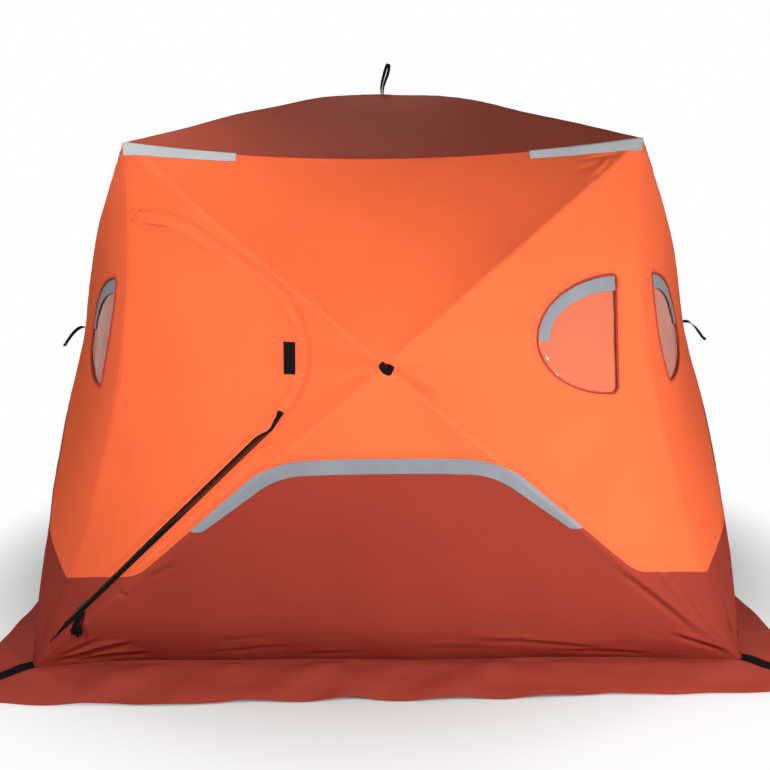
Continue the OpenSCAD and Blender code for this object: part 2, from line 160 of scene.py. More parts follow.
def curve_through(points, count):
    """A smooth line through points."""
    p = np.asarray(points, float)
    p = np.vstack([2 * p[0] - p[1], p, 2 * p[-1] - p[-2]])
    t = np.linspace(0, 1, 16, endpoint=False)[:, None]
    out = []
    for a, b, c, d in zip(p, p[1:], p[2:], p[3:]):
        square = 2 * a - 5 * b + 4 * c - d
        cube = 3 * b - a - 3 * c + d
        out.append(0.5 * (2 * b + (c - a) * t + square * t ** 2 + cube * t ** 3))
    return spaced(np.vstack(out + [p[-2:-1]]), count)


# Flat outlines, walked in wall coordinates: x to the right and z up

def fillet(a, v, b, steps=14):
    p = np.array(v[:2])
    u = unit(np.array(a[:2]) - p)
    w = unit(np.array(b[:2]) - p)
    half = math.acos(max(-1, min(1, float(u @ w)))) / 2
    run = v[2] / math.tan(half)
    mid = p + unit(u + w) * v[2] / math.sin(half)
    start = p + u * run - mid
    stop = p + w * run - mid
    sign = 1 if start[0] * stop[1] - start[1] * stop[0] > 0 else -1
    g = sign * (math.pi - 2 * half) * np.linspace(0, 1, steps)
    across = start[0] * np.cos(g) - start[1] * np.sin(g)
    up = start[0] * np.sin(g) + start[1] * np.cos(g)
    return mid + np.stack([across, up], 1)


def rounded(v, closed=True):
    n = len(v)
    out = []
    for i in range(n):
        sharp = v[i][2] == 0 or (not closed and i in (0, n - 1))
        out.append(np.array([v[i][:2]]) if sharp else fillet(v[i - 1], v[i], v[(i + 1) % n]))
    return np.vstack(out)


def moved_in(v, gaps):
    """A clockwise outline with each edge moved inwards by its own gap."""
    n = len(v)
    lines = []
    for i in range(n):
        p = np.array(v[i][:2])
        d = unit(np.array(v[(i + 1) % n][:2]) - p)
        lines.append((p + np.array([d[1], -d[0]]) * gaps[i], d))
    out = []
    for i in range(n):
        (p, d), (q, e) = lines[i - 1], lines[i]
        t = np.linalg.solve(np.stack([d, -e], 1), q - p)[0]
        out.append((*(p + d * t), max(v[i][2] - min(gaps[i - 1], gaps[i]), 0.0)))
    return out


def both_halves(half):
    """An open outline that mirrors its right half."""
    return rounded([(-x, z, r) for x, z, r in reversed(half)] + half, False)


def split_line():
    slope = (TURN[1] - SPLIT_HALF[1]) / (SPLIT_HALF[0] - TURN[0])
    far = TURN[1] - slope * (SPLIT_FAR - TURN[0])
    return both_halves([(*SHOULDER, SHOULDER_ROUND), (*TURN, TURN_ROUND), (SPLIT_FAR, far, 0)])


def window_line(side, grow=0.0, corner=0.017):
    """The window's outline: a half ellipse whose straight side, towards the corner, has rounded ends."""
    w = WIN_W + 2 * grow
    h = WIN_H + grow
    edge = WIN_SIDE + grow
    r = corner + grow
    g0 = math.acos(r / w)
    g = np.linspace(g0, -g0, 60)
    curve = np.stack([edge - w * np.cos(g), h * np.sin(g)], 1)
    a = np.linspace(math.pi / 2, 0, 9)
    upper = np.stack([edge - r + r * np.cos(a), curve[0, 1] - r + r * np.sin(a)], 1)
    line = np.vstack([curve, upper[1:] * [1, -1], upper[:0:-1]]) * [side, 1] + [0, WIN_MID]
    return line if side > 0 else line[::-1]


# Rims of the walls and the roof: four corners, and how far the middle of each edge is pulled

WALL_CORNERS = np.array([(-EAVE, EAVE_H, EAVE), (EAVE, EAVE_H, EAVE),
                         (BASE, HEM, BASE), (-BASE, HEM, BASE)])
WALL_PULL = np.array([(0, -EAVE_SAG, -EAVE_DRAW), (-EDGE_BOW, 0, -EDGE_BOW),
                      (0, 0, 0), (EDGE_BOW, 0, -EDGE_BOW)])
ROOF_CORNERS = np.array([(-EAVE, -EAVE, EAVE_H), (EAVE, -EAVE, EAVE_H),
                         (EAVE, EAVE, EAVE_H), (-EAVE, EAVE, EAVE_H)])
ROOF_PULL = np.array([(0, EAVE_DRAW, -EAVE_SAG), (-EAVE_DRAW, 0, -EAVE_SAG),
                      (0, -EAVE_DRAW, -EAVE_SAG), (EAVE_DRAW, 0, -EAVE_SAG)])


def rim_edge(corners, pull, k, s):
    s = np.asarray(s, float)[:, None]
    return corners[k] * (1 - s) + corners[(k + 1) % 4] * s + pull[k] * 4 * s * (1 - s)


def rim_line(corners, pull, count=60):
    s = np.linspace(0, 1, count, endpoint=False)
    return np.vstack([rim_edge(corners, pull, k, s)[:, :2] for k in range(4)])


def eave_line(s):
    """Places along the front wall's eave, in the frame of the hut."""
    e = rim_edge(WALL_CORNERS, WALL_PULL, 0, s)
    return np.stack([e[:, 0], -e[:, 2], e[:, 1]], 1)


# Cloth stretched from a hub over four poles: how far it stands out at a place

def ridge_lines(centre, corners):
    """The lines along which the poles lift the cloth."""
    return [(np.array([centre, c[:2]], float), False) for c in corners]


def face_tables(corners, pull, centre):
    s = np.linspace(-0.6, 1.6, 441)
    out = []
    for k in range(4):
        e = rim_edge(corners, pull, k, s)
        rel = e[:, :2] - centre
        mid = rel[len(s) // 2]
        angle = np.arctan2(mid[0] * rel[:, 1] - mid[1] * rel[:, 0], rel @ mid)
        order = np.argsort(angle)
        out.append((mid, angle[order], s[order], np.linalg.norm(rel, axis=1)[order], e[order, 2]))
    return out


WALL_FACES = face_tables(WALL_CORNERS, WALL_PULL, np.array([0, HUB_H]))
ROOF_FACES = face_tables(ROOF_CORNERS, ROOF_PULL, np.array([0.0, 0.0]))


def stretched(faces, centre, hub_out, bow, face_bow, a, b, soft=0.0022):
    """How far the cloth stands out, and how far it is to the rim."""
    rel = np.stack([a - centre[0], b - centre[1]], -1)
    r = np.linalg.norm(rel, axis=-1)
    bellied = (0, 1, 2, 3) if faces is ROOF_FACES else (1, 3)
    outs, shares, edges = [], [], []
    for k, (mid, angle, s, length, edge_out) in enumerate(faces):
        g = np.arctan2(mid[0] * rel[..., 1] - mid[1] * rel[..., 0], rel @ mid)
        beyond = (g < angle[0]) | (g > angle[-1])
        along = np.interp(g, angle, s)
        long = np.interp(g, angle, length)
        t = r / long
        lift = bow * (2 * along - 1) ** 2
        if k in bellied:
            lift = lift + face_bow * np.clip(4 * along * (1 - along), 0, 1)
        taut = hub_out * (1 - t) + np.interp(g, angle, edge_out) * t
        outs.append(np.where(beyond, 9.0, taut + 4 * t * (1 - t) * lift))
        shares.append(t)
        edges.append((1 - t) * long)
    outs = np.stack(outs)
    best = outs.argmin(0)[None]
    hard = outs.min(0)
    round_off = -soft * np.log(np.exp(-(outs - hard) / soft).sum(0))
    t = np.take_along_axis(np.stack(shares), best, 0)[0]
    edge = np.take_along_axis(np.stack(edges), best, 0)[0]
    return hard + round_off * ease((1 - t) / 0.07), edge


# Folds: a map for each wall of how far its cloth stands off the stretched shape

GRID = 0.005
GX = np.arange(-1.13, 1.1301, GRID)
GZ = np.arange(-0.02, 1.6401, GRID)
SEAM_DIP = 0.006
RIM_FADE = 0.016


def off_line(x, z, line):
    """Distance from a line, the run along it, the side of it, and its whole length."""
    best = np.full(x.shape, 9.0)
    arc = np.zeros(x.shape)
    side = np.zeros(x.shape)
    run = 0.0
    for (ax, az), (bx, bz) in zip(line[:-1], line[1:]):
        dx, dz = bx - ax, bz - az
        long = math.hypot(dx, dz) or 1e-9
        u = np.clip(((x - ax) * dx + (z - az) * dz) / long ** 2, 0, 1)
        ex, ez = x - ax - u * dx, z - az - u * dz
        d = np.hypot(ex, ez)
        near = d < best
        best = np.where(near, d, best)
        arc = np.where(near, run + u * long, arc)
        side = np.where(near, np.sign(dx * ez - dz * ex), side)
        run += long
    return best, arc, side, run


def near_line(line, reach):
    """The part of the map within reach of a line, and its places."""
    low = line.min(0) - reach
    high = line.max(0) + reach
    cut = (slice(*np.searchsorted(GX, [low[0], high[0]])), slice(*np.searchsorted(GZ, [low[1], high[1]])))
    return cut, *np.meshgrid(GX[cut[0]], GZ[cut[1]], indexing="ij")


def add_crease(height, line, depth, wide, lip=0.0):
    """A crease: a groove or ridge with soft ends, and a lip of the other sense along its left."""
    line = walk(line, 0.02)
    cut, x, z = near_line(line, 5 * wide)
    d, arc, side, long = off_line(x, z, line)
    ends = ease(arc / (0.35 * long)) * ease((long - arc) / (0.35 * long))
    d = d * side
    groove = np.exp(-(d / wide) ** 2)
    raised = np.exp(-((d - 1.9 * wide) / (1.2 * wide)) ** 2)
    height[cut] += ends * depth * (groove - lip * raised)


def add_seam(height, line, draw, pucker, wave, reach, seed, closed=False):
    """A seam that draws the cloth in along its line and puckers it on both sides."""
    line = walk(line, 0.03, closed)
    line = np.vstack([line, line[:1]]) if closed else line
    cut, x, z = near_line(line, 4 * reach)
    d, arc, _, _ = off_line(x, z, line)
    a, b = np.random.default_rng(seed).uniform(0, 6.28, 2)
    beat = np.sin(arc * 6.28 / wave + 1.7 * np.sin(arc * 2.1 / wave + a))
    beat *= 0.6 + 0.4 * np.sin(arc * 0.9 / wave + b)
    stitched = np.exp(-(d / SEAM_DIP) ** 2)
    height[cut] += pucker * beat * np.exp(-d / reach) * ease(d / SEAM_DIP) - draw * stitched


def ripple(x, z, seed, count, shortest, longest):
    rng = np.random.default_rng(seed)
    out = 0.0
    for _ in range(count):
        long = rng.uniform(shortest, longest)
        way = rng.uniform(0, math.pi)
        phase = rng.uniform(0, 6.28)
        out = out + np.sin(6.28 / long * (x * math.cos(way) + z * math.sin(way)) + phase)
    return out / math.sqrt(count / 2)


# Creases that show on the door wall: line, depth, half width and lip
FRONT_CREASES = [
    ([(-1.05, 0.016), (-1.005, 0.024), (-0.964, 0.034), (-0.922, 0.048), (-0.86, 0.068), (-0.76, 0.090)],
     -0.013, 0.0075, 0.9),
    ([(-1.03, 0.030), (-0.98, 0.052), (-0.93, 0.078), (-0.87, 0.110)], -0.008, 0.007, 0.8),
    ([(-1.06, 0.045), (-1.02, 0.10), (-0.975, 0.16)], -0.006, 0.008, 0.7),
    ([(-0.99, 0.012), (-0.92, 0.022), (-0.84, 0.030), (-0.72, 0.040)], -0.009, 0.0075, 0.7),
    ([(-0.62, 0.030), (-0.50, 0.045), (-0.36, 0.060), (-0.22, 0.066)], -0.003, 0.008, 0.6),
    ([(-0.58, 0.085), (-0.44, 0.10), (-0.30, 0.105)], -0.002, 0.010, 0.5),
    ([(-0.30, 0.020), (-0.20, 0.032), (-0.06, 0.036)], -0.003, 0.007, 0.6),
    ([(0.05, 0.050), (0.20, 0.058), (0.38, 0.050)], -0.002, 0.009, 0.6),
    ([(0.22, 0.085), (0.40, 0.080), (0.58, 0.060), (0.74, 0.038)], -0.005, 0.009, 0.7),
    ([(0.48, 0.040), (0.66, 0.034), (0.86, 0.018)], -0.005, 0.008, 0.6),
    ([(-0.815, 0.290), (-0.79, 0.275), (-0.76, 0.262)], -0.006, 0.008, 0.6),
    ([(-0.70, 0.32), (-0.66, 0.345), (-0.60, 0.378)], -0.004, 0.009, 0.6),
    ([(0.79, 0.335), (0.821, 0.301), (0.859, 0.256), (0.95, 0.14)], -0.008, 0.007, 0.8),
    ([(0.64, 0.36), (0.74, 0.285), (0.84, 0.20), (0.95, 0.10)], -0.007, 0.009, 0.7),
    ([(0.90, 0.23), (0.97, 0.15), (1.035, 0.075), (1.08, 0.025)], -0.006, 0.007, 0.7),
    ([(1.045, 0.13), (1.065, 0.085), (1.088, 0.028)], -0.005, 0.006, 0.6),
    ([(0.84, 0.115), (0.923, 0.083), (1.008, 0.050), (1.07, 0.018)], -0.009, 0.0075, 0.8),
    ([(-0.79, 1.588), (-0.731, 1.549), (-0.64, 1.468)], -0.005, 0.006, 0.7),
    ([(0.61, 1.538), (0.695, 1.549), (0.75, 1.558)], -0.004, 0.006, 0.7),
    ([(0.62, 1.465), (0.676, 1.509), (0.72, 1.550)], -0.005, 0.006, 0.7),
    ([(0.58, 1.50), (0.63, 1.515), (0.68, 1.533)], -0.003, 0.006, 0.6),
    ([(0.70, 1.46), (0.735, 1.51), (0.76, 1.56)], -0.003, 0.007, 0.5),
    ([(0.45, 1.155), (0.51, 1.168), (0.57, 1.176)], -0.0024, 0.007, 0.6),
    ([(0.37, 0.893), (0.44, 0.872), (0.51, 0.846)], -0.0026, 0.008, 0.6),
    ([(0.36, 0.94), (0.42, 0.925), (0.46, 0.90)], -0.0018, 0.008, 0.5),
    ([(-0.44, 0.690), (-0.62, 0.535), (-0.82, 0.358)], -0.0034, 0.006, 0.6),
    ([(-0.42, 0.74), (-0.60, 0.59), (-0.74, 0.46)], -0.0026, 0.009, 0.5),
    ([(-0.215, 1.15), (-0.175, 1.09), (-0.14, 1.045)], -0.004, 0.006, 0.6),
    ([(-0.20, 0.965), (-0.15, 0.966), (-0.10, 0.967)], -0.0022, 0.006, 0.5),
    ([(-0.41, 0.708), (-0.33, 0.699), (-0.24, 0.704)], -0.0045, 0.008, 0.6),
    ([(-0.16, 0.89), (-0.08, 0.925), (-0.02, 0.945)], -0.0036, 0.010, 0.5),
    ([(0.02, 0.945), (0.07, 0.915), (0.15, 0.885)], -0.0036, 0.010, 0.5),
    ([(-0.42, 1.22), (-0.36, 1.185), (-0.31, 1.13)], -0.003, 0.007, 0.6),
    ([(-0.62, 1.30), (-0.55, 1.275), (-0.47, 1.235)], -0.003, 0.008, 0.6),
]


def corner_fan(seed):
    """Folds that run into the four corners of a wall that can't be seen in the photograph."""
    rng = np.random.default_rng(seed)
    out = []
    for cx, cz in [(-1.09, 0.012), (1.09, 0.012), (-0.80, 1.585), (0.80, 1.585)]:
        low = cz < 1
        spread = [12, 34, 62, 80] if low else [20, 42, 60]
        for g in np.radians(spread) + rng.uniform(-0.06, 0.06, len(spread)):
            long = rng.uniform(0.16, 0.32) if low else rng.uniform(0.10, 0.18)
            way = np.array([-np.sign(cx) * math.cos(g), math.sin(g) if low else -math.sin(g)])
            a = np.array([cx, cz]) + way * 0.03
            b = a + way * long
            m = (a + b) / 2 + rng.uniform(-0.01, 0.01, 2)
            depth = rng.uniform(0.005, 0.009) if low else rng.uniform(0.003, 0.004)
            out.append(([a, m, b], -depth, rng.uniform(0.006, 0.010), 0.6))
    return out


def side_edge(z):
    s = np.clip((EAVE_H - z) / (EAVE_H - HEM), 0, 1)
    return EAVE + (BASE - EAVE) * s - EDGE_BOW * 4 * s * (1 - s)


def top_edge(x):
    return EAVE_H - EAVE_SAG * np.clip(1 - (x / EAVE) ** 2, 0, 1)


def make_folds(wall):
    """Slack, the tucked hem, creases and puckered seams of one wall."""
    seed = 11 + 7 * list(TURNS).index(wall)
    x, z = np.meshgrid(GX, GZ, indexing="ij")
    slack = ripple(x, z, seed, count=14, shortest=0.22, longest=0.55)
    crinkle = ripple(x, z, seed + 1, count=30, shortest=0.045, longest=0.10)
    height = 0.0012 * slack + 0.00022 * crinkle
    tuck = 0.040 - 0.006 * x + 0.005 * np.sin(3.1 * x + seed) + 0.003 * np.sin(8.3 * x + 2 * seed)
    reach = 0.14 - 0.035 * x + 0.02 * np.sin(2.2 * x + 1.5 * seed)
    height -= tuck * (1 - np.clip(np.abs(x) / 1.08, 0, 1) ** 6) * np.clip(1 - z / reach, 0, 1) ** 1.7
    for crease in FRONT_CREASES if wall == "front" else corner_fan(seed):
        add_crease(height, *crease)
    add_seam(height, split_line()[1:-1], draw=0.0007, pucker=0.0007, wave=0.045, reach=0.016, seed=seed + 2)
    window = window_line(WINDOW_AT[wall], grow=0.006)
    add_seam(height, window, draw=0.0005, pucker=0.0009, wave=0.038, reach=0.018, seed=seed + 3, closed=True)
    if wall == "front":
        door = rounded(DOOR)[1:-1]
        add_seam(height, door, draw=0.0004, pucker=0.0009, wave=0.042, reach=0.016, seed=seed + 4)
    return height * ease((side_edge(z) - np.abs(x)) / RIM_FADE) * ease((top_edge(x) - z) / RIM_FADE)


FOLDS = {wall: make_folds(wall) for wall in TURNS}


def fold_at(wall, x, z):
    m = FOLDS[wall]
    u = np.clip((x - GX[0]) / GRID, 0, m.shape[0] - 1.001)
    v = np.clip((z - GZ[0]) / GRID, 0, m.shape[1] - 1.001)
    i, j = u.astype(int), v.astype(int)
    p, q = u - i, v - j
    near = m[i, j] * (1 - q) + m[i, j + 1] * q
    far = m[i + 1, j] * (1 - q) + m[i + 1, j + 1] * q
    return near * (1 - p) + far * p


# Places on the outer face of a wall or the roof

def slopes(out, a, b, h=0.003):
    """How fast a height rises along each of its two directions."""
    return (out(a + h, b) - out(a - h, b)) / (2 * h), (out(a, b + h) - out(a, b - h)) / (2 * h)


def turned(p, wall):
    g = math.radians(TURNS[wall])
    c, s = round(math.cos(g)), round(math.sin(g))
    return np.stack([p[..., 0] * c - p[..., 1] * s, p[..., 0] * s + p[..., 1] * c, p[..., 2]], -1)


def on_wall(wall, flat, lift=0.0):
    """Places on a wall's outer face, lifted off it along the cloth's normal, and those normals."""
    x, z = flat[..., 0], flat[..., 1]

    def out(x, z):
        taut, _ = stretched(WALL_FACES, (0, HUB_H), HUB, POLE_BOW, FACE_BOW[wall], x, z)
        return taut + fold_at(wall, x, z)

    across, up = slopes(out, x, z)
    n = unit(np.stack([-across, -np.ones(x.shape), -up], -1))
    p = np.stack([x, -out(x, z), z], -1) + n * np.asarray(lift)[..., None]
    wrap = 0.5 * (1 - ease((side_edge(z) - np.abs(x)) / 0.024))[..., None]
    diagonal = np.stack([np.sign(x) * 0.7071, np.full(x.shape, -0.7071), 0 * x], -1)
    n = unit(n * (1 - wrap) + diagonal * wrap)
    return turned(p, wall), turned(n, wall)


DOME_RADIUS = 0.38


def on_roof(flat, lift=0.0):
    """The same for the roof, which has a low dome round its hub."""
    x, y = flat[..., 0], flat[..., 1]

    def out(x, y):
        taut, edge = stretched(ROOF_FACES, (0, 0), ROOF_H, ROOF_BOW, FACE_BOW["roof"], x, y)
        r = np.hypot(x, y) / DOME_RADIUS
        dome = 0.008 * np.exp(-1.6 * r ** 2) + 0.014 * r ** 2 * np.exp(1 - r ** 2)
        slack = ripple(x, y, seed=5, count=14, shortest=0.2, longest=0.5)
        crinkle = ripple(x, y, seed=6, count=30, shortest=0.045, longest=0.1)
        return taut + dome + (0.0012 * slack + 0.0002 * crinkle) * ease((edge - 0.001) / 0.03)

    across, up = slopes(out, x, y)
    n = unit(np.stack([-across, -up, np.ones(x.shape)], -1))
    return np.stack([x, y, out(x, y)], -1) + n * np.asarray(lift)[..., None], n


# Cutting cloth: a net of triangles inside sewing lines

def within(p, loop):
    inside = np.zeros(len(p), bool)
    for (ax, az), (bx, bz) in zip(loop, np.roll(loop, -1, 0)):
        if az == bz:
            continue
        cross = (az > p[:, 1]) != (bz > p[:, 1])
        inside ^= cross & (p[:, 0] < (bx - ax) * (p[:, 1] - az) / (bz - az) + ax)
    return inside


def cut_cloth(rim, lines, step):
    """Triangles inside rim, with every line, given as (points, closed), among their edges."""
    rim = walk(rim, step, True)
    runs = [(rim, True)] + [(walk(p, step, closed), closed) for p, closed in lines]
    low, high = rim.min(0), rim.max(0)
    rows = []
    for k, z in enumerate(np.arange(low[1], high[1], step * 0.866)):
        x = np.arange(low[0] + (k % 2) * step / 2, high[0], step)
        rows.append(np.stack([x, np.full(len(x), z)], 1))
    p = np.vstack(rows)
    p = p[within(p, rim)]
    marks = np.vstack([r for r, _ in runs])
    far = np.ones(len(p), bool)
    for k in range(0, len(p), 2000):
        d = p[k:k + 2000, None, :] - marks[None]
        far[k:k + 2000] = (d ** 2).sum(-1).min(1) > (0.62 * step) ** 2
    points, edges = list(map(Vector, p[far].tolist())), []
    for run, closed in runs:
        at = len(points) + np.arange(len(run))
        points += list(map(Vector, run.tolist()))
        pairs = zip(at, np.roll(at, -1)) if closed else zip(at[:-1], at[1:])
        edges += [(int(i), int(j)) for i, j in pairs]
    flat, _, faces, *_ = delaunay_2d_cdt(points, edges, [], 0, 1e-6)
    flat = np.array([v[:] for v in flat])
    faces = np.array([f[:] for f in faces])
    mid = flat[faces].mean(1)
    keep = within(mid, rim)
    return flat, faces[keep], mid[keep]


# Making pieces: sheets, strips, cords, webbing and stitches

def put_mesh(name, points, faces, finish, uv=None, normals=None):
    """A new piece from points and faces; uv is given for each point, normals for each face corner."""
    mesh = bpy.data.meshes.new(name)
    mesh.from_pydata(np.asarray(points, float).tolist(), [], [list(map(int, f)) for f in faces])
    mesh.polygons.foreach_set("use_smooth", np.full(len(mesh.polygons), True))
    if uv is not None:
        corner = np.zeros(len(mesh.loops), np.int32)
        mesh.loops.foreach_get("vertex_index", corner)
        layer = mesh.uv_layers.new(name="Cut")
        layer.data.foreach_set("uv", np.asarray(uv, np.float32)[corner].ravel())
    if normals is not None:
        mesh.normals_split_custom_set(np.asarray(normals, float).tolist())
    mesh.update()
    piece = bpy.data.objects.new(name, mesh)
    bpy.context.scene.collection.objects.link(piece)
    mesh.materials.append(finish)
    return piece


def open_edges(faces):
    e = np.concatenate([faces[:, [k, (k + 1) % faces.shape[1]]] for k in range(faces.shape[1])])
    _, first, count = np.unique(np.sort(e, 1), axis=0, return_index=True, return_counts=True)
    return e[first[count == 1]]


def put_shell(name, points, normals, faces, flat, finish, thick):
    """A closed sheet: outer layer on the points, inner layer behind it, and a rim between."""
    n = len(points)
    both = np.vstack([points, points - normals * thick])
    rim = open_edges(faces)
    sides = np.stack([rim[:, 1], rim[:, 0], rim[:, 0] + n, rim[:, 1] + n], 1)
    back = faces[:, ::-1] + n
    a, b, c = both[sides[:, 0]], both[sides[:, 1]], both[sides[:, 2]]
    side_n = np.repeat(unit(np.cross(b - a, c - b)), 4, 0)
    front_n = normals[faces].reshape(-1, 3)
    back_n = -normals[back - n].reshape(-1, 3)
    corner = np.vstack([front_n, back_n, side_n])
    return put_mesh(name, both, [*faces, *back, *sides], finish, np.vstack([flat, flat]), corner)


def true_normals(points, faces, outward):
    """Normals of a net of faces at its points, on the side that outward points to."""
    a, b, c = points[faces[:, 0]], points[faces[:, 1]], points[faces[:, -1]]
    flat = np.cross(b - a, c - a)
    n = np.zeros_like(points)
    for k in range(faces.shape[1]):
        np.add.at(n, faces[:, k], flat)
    return unit(n * np.sign((n * outward).sum(1, keepdims=True)))


def sew_panel(name, wall, flat, faces, finish, lift=0.0, thick=CLOTH):
    """A panel of cut cloth on a wall or the roof; lift is one number or a function of the flat places."""
    used, index = np.unique(faces, return_inverse=True)
    flat, faces = flat[used], index.reshape(faces.shape)
    d1, d2 = flat[faces[:, 1]] - flat[faces[:, 0]], flat[faces[:, 2]] - flat[faces[:, 0]]
    clockwise = d1[:, 0] * d2[:, 1] - d1[:, 1] * d2[:, 0] < 0
    faces = np.where(clockwise[:, None], faces[:, ::-1], faces)
    up = lift(flat) if callable(lift) else lift
    place, n = on_roof(flat, up) if wall == "roof" else on_wall(wall, flat, up)
    if callable(lift):
        n = true_normals(place, faces, n)
    return put_shell(name, place, n, faces, flat, finish, thick)


def grid_faces(rows, cols, wrap=False):
    i, j = np.meshgrid(np.arange(rows - 1), np.arange(cols if wrap else cols - 1), indexing="ij")
    a, b = i * cols + j, i * cols + (j + 1) % cols
    return np.stack([a, b, b + cols, a + cols], -1).reshape(-1, 4)


def band(name, rows, outward, finish, thick):
    """A closed strip from rows of points; outward, given for each point, says which side is out."""
    rows, outward = np.asarray(rows, float), np.asarray(outward, float)
    faces = grid_faces(rows.shape[0], rows.shape[1])
    p, n = rows.reshape(-1, 3), outward.reshape(-1, 3)
    a, b, c = p[faces[:, 0]], p[faces[:, 1]], p[faces[:, 3]]
    if (np.cross(b - a, c - a) * n[faces[:, 0]]).sum() < 0:
        faces = faces[:, ::-1]
    flat = np.stack(np.meshgrid(run_along(rows[0]), run_along(rows[:, 0])), -1).reshape(-1, 2)
    return put_shell(name, p, n, faces, flat, finish, thick)


def laid_band(name, wall, edge_a, edge_b, count, finish, lift, thick, depth=6):
    """A strip laid on a wall between two flat lines.

    lift is one number, or a function of the run along the strip and the way across it, both 0 to 1.
    """
    a, b = spaced(edge_a, count), spaced(edge_b, count)
    v = np.linspace(0, 1, depth)[:, None]
    flat = a[None] * (1 - v[..., None]) + b[None] * v[..., None]
    if not callable(lift):
        return band(name, *on_wall(wall, flat, np.full((depth, count), lift)), finish, thick)
    run, across = np.meshgrid(np.linspace(0, 1, count), v[:, 0])
    rows, n = on_wall(wall, flat, lift(run, across))
    n = true_normals(rows.reshape(-1, 3), grid_faces(depth, count), n.reshape(-1, 3))
    return band(name, rows, n.reshape(rows.shape), finish, thick)


def join(name, pieces):
    bpy.ops.object.select_all(action="DESELECT")
    for piece in pieces:
        piece.select_set(True)
    bpy.context.view_layer.objects.active = pieces[0]
    if len(pieces) > 1:
        bpy.ops.object.join()
    pieces[0].name = pieces[0].data.name = name
    bpy.ops.object.select_all(action="DESELECT")
    return pieces[0]


def tube(name, line, radius, finish, sides=8, closed=False):
    """A round cord along points, closed by caps unless it runs round."""
    line = np.asarray(line, float)
    ahead = unit(np.roll(line, -1, 0) - np.roll(line, 1, 0) if closed else np.gradient(line, axis=0))
    steep = np.abs(ahead[:, 2]).max() >= 0.9
    u = unit(np.cross(ahead, (0.62, 0.78, 0.05) if steep else (0.0, 0.0, 1.0)))
    w = np.cross(u, ahead)
    g = np.linspace(0, 2 * math.pi, sides, endpoint=False)
    spokes = u[:, None] * np.cos(g)[None, :, None] + w[:, None] * np.sin(g)[None, :, None]
    points = (line[:, None] + radius * spokes).reshape(-1, 3)
    faces = grid_faces(len(line), sides, True)
    if closed:
        last, j = (len(line) - 1) * sides, np.arange(sides)
        faces = np.vstack([faces, np.stack([last + j, last + (j + 1) % sides, (j + 1) % sides, j], 1)])
    faces = [list(f[::-1]) for f in faces]
    if not closed:
        faces += [list(range(sides)), list(range(len(points) - sides, len(points)))[::-1]]
    uv = np.stack([np.repeat(run_along(line), sides), np.tile(g * radius, len(line))], 1)
    return put_mesh(name, points, faces, finish, uv)


def webbing(name, line, across, width, finish, thick):
    """Flat webbing along points; across says which way its width lies at each of them."""
    line, across = np.asarray(line, float), np.asarray(across, float)
    ahead = unit(np.gradient(line, axis=0))
    across = unit(across - ahead * (across * ahead).sum(1, keepdims=True))
    up = np.cross(across, ahead)
    v = np.linspace(-0.5, 0.5, 6)[:, None, None] * width
    rows = line[None] + across[None] * v + up[None] * thick / 2
    return band(name, rows, np.broadcast_to(up[None], rows.shape), finish, thick)


STITCH_FACES = np.array([(0, 4, 2), (0, 2, 5), (0, 5, 3), (0, 3, 4),
                         (1, 2, 4), (1, 5, 2), (1, 3, 5), (1, 4, 3)])


def threads(name, rows, finish, pitch=0.0065, long=0.0046, thick=0.0010):
    """Rows of stitches, each a small raised thread; a row is its points and the cloth's normals there."""
    points, faces = [], []
    count = 0
    for line, up in rows:
        run = run_along(line)
        at = np.arange(pitch / 2, run[-1], pitch)
        c = columns_at(at, run, line)
        u = unit(columns_at(at, run, up))
        d = unit(np.gradient(c, axis=0) if len(c) > 1 else np.diff(line[:2], axis=0))
        w = np.cross(u, d)
        ends = [c - d * long / 2, c + d * long / 2]
        waist = [c + u * thick, c - u * thick, c + w * thick * 0.8, c - w * thick * 0.8]
        points.append(np.stack(ends + waist, 1).reshape(-1, 3))
        first = count + 6 * np.arange(len(c))[:, None, None]
        faces.append((first + STITCH_FACES).reshape(-1, 3))
        count += len(points[-1])
    return put_mesh(name, np.vstack(points), np.vstack(faces), finish)


def wall_row(wall, flat, lift=0.0004, step=0.02):
    return on_wall(wall, walk(flat, step), lift)


# Finishes

def set_inputs(node, **values):
    """Sets a node's inputs by name, with _ for the spaces in it."""
    for name, value in values.items():
        node.inputs[name.replace("_", " ")].default_value = value


def finish_base(name, colour, rough):
    mat = bpy.data.materials.new(name)
    mat.use_nodes = True
    shader = mat.node_tree.nodes["Principled BSDF"]
    set_inputs(shader, Base_Color=(*colour, 1), Roughness=rough)
    mat.diffuse_color = (*colour, 1)
    return mat, mat.node_tree, shader


def feed(tree, socket, value):
    """Gives a socket a number or another node's output."""
    if isinstance(value, (int, float)):
        socket.default_value = value
    else:
        tree.links.new(value, socket)


def math_node(tree, op, a, b):
    n = tree.nodes.new("ShaderNodeMath")
    n.operation = op
    feed(tree, n.inputs[0], a)
    feed(tree, n.inputs[1], b)
    return n.outputs[0]


def wave(tree, where, way, pitch):
    n = tree.nodes.new("ShaderNodeTexWave")
    n.wave_type = "BANDS"
    n.bands_direction = way
    n.wave_profile = "SIN"
    set_inputs(n, Scale=0.314159 / pitch)
    tree.links.new(where, n.inputs["Vector"])
    return n.outputs["Fac"]


def mapped(tree, where, **values):
    n = tree.nodes.new("ShaderNodeMapping")
    set_inputs(n, **values)
    tree.links.new(where, n.inputs["Vector"])
    return n.outputs[0]


def noise(tree, where, scale, detail=3.0):
    n = tree.nodes.new("ShaderNodeTexNoise")
    set_inputs(n, Scale=scale, Detail=detail)
    tree.links.new(where, n.inputs["Vector"])
    return n.outputs["Fac"]


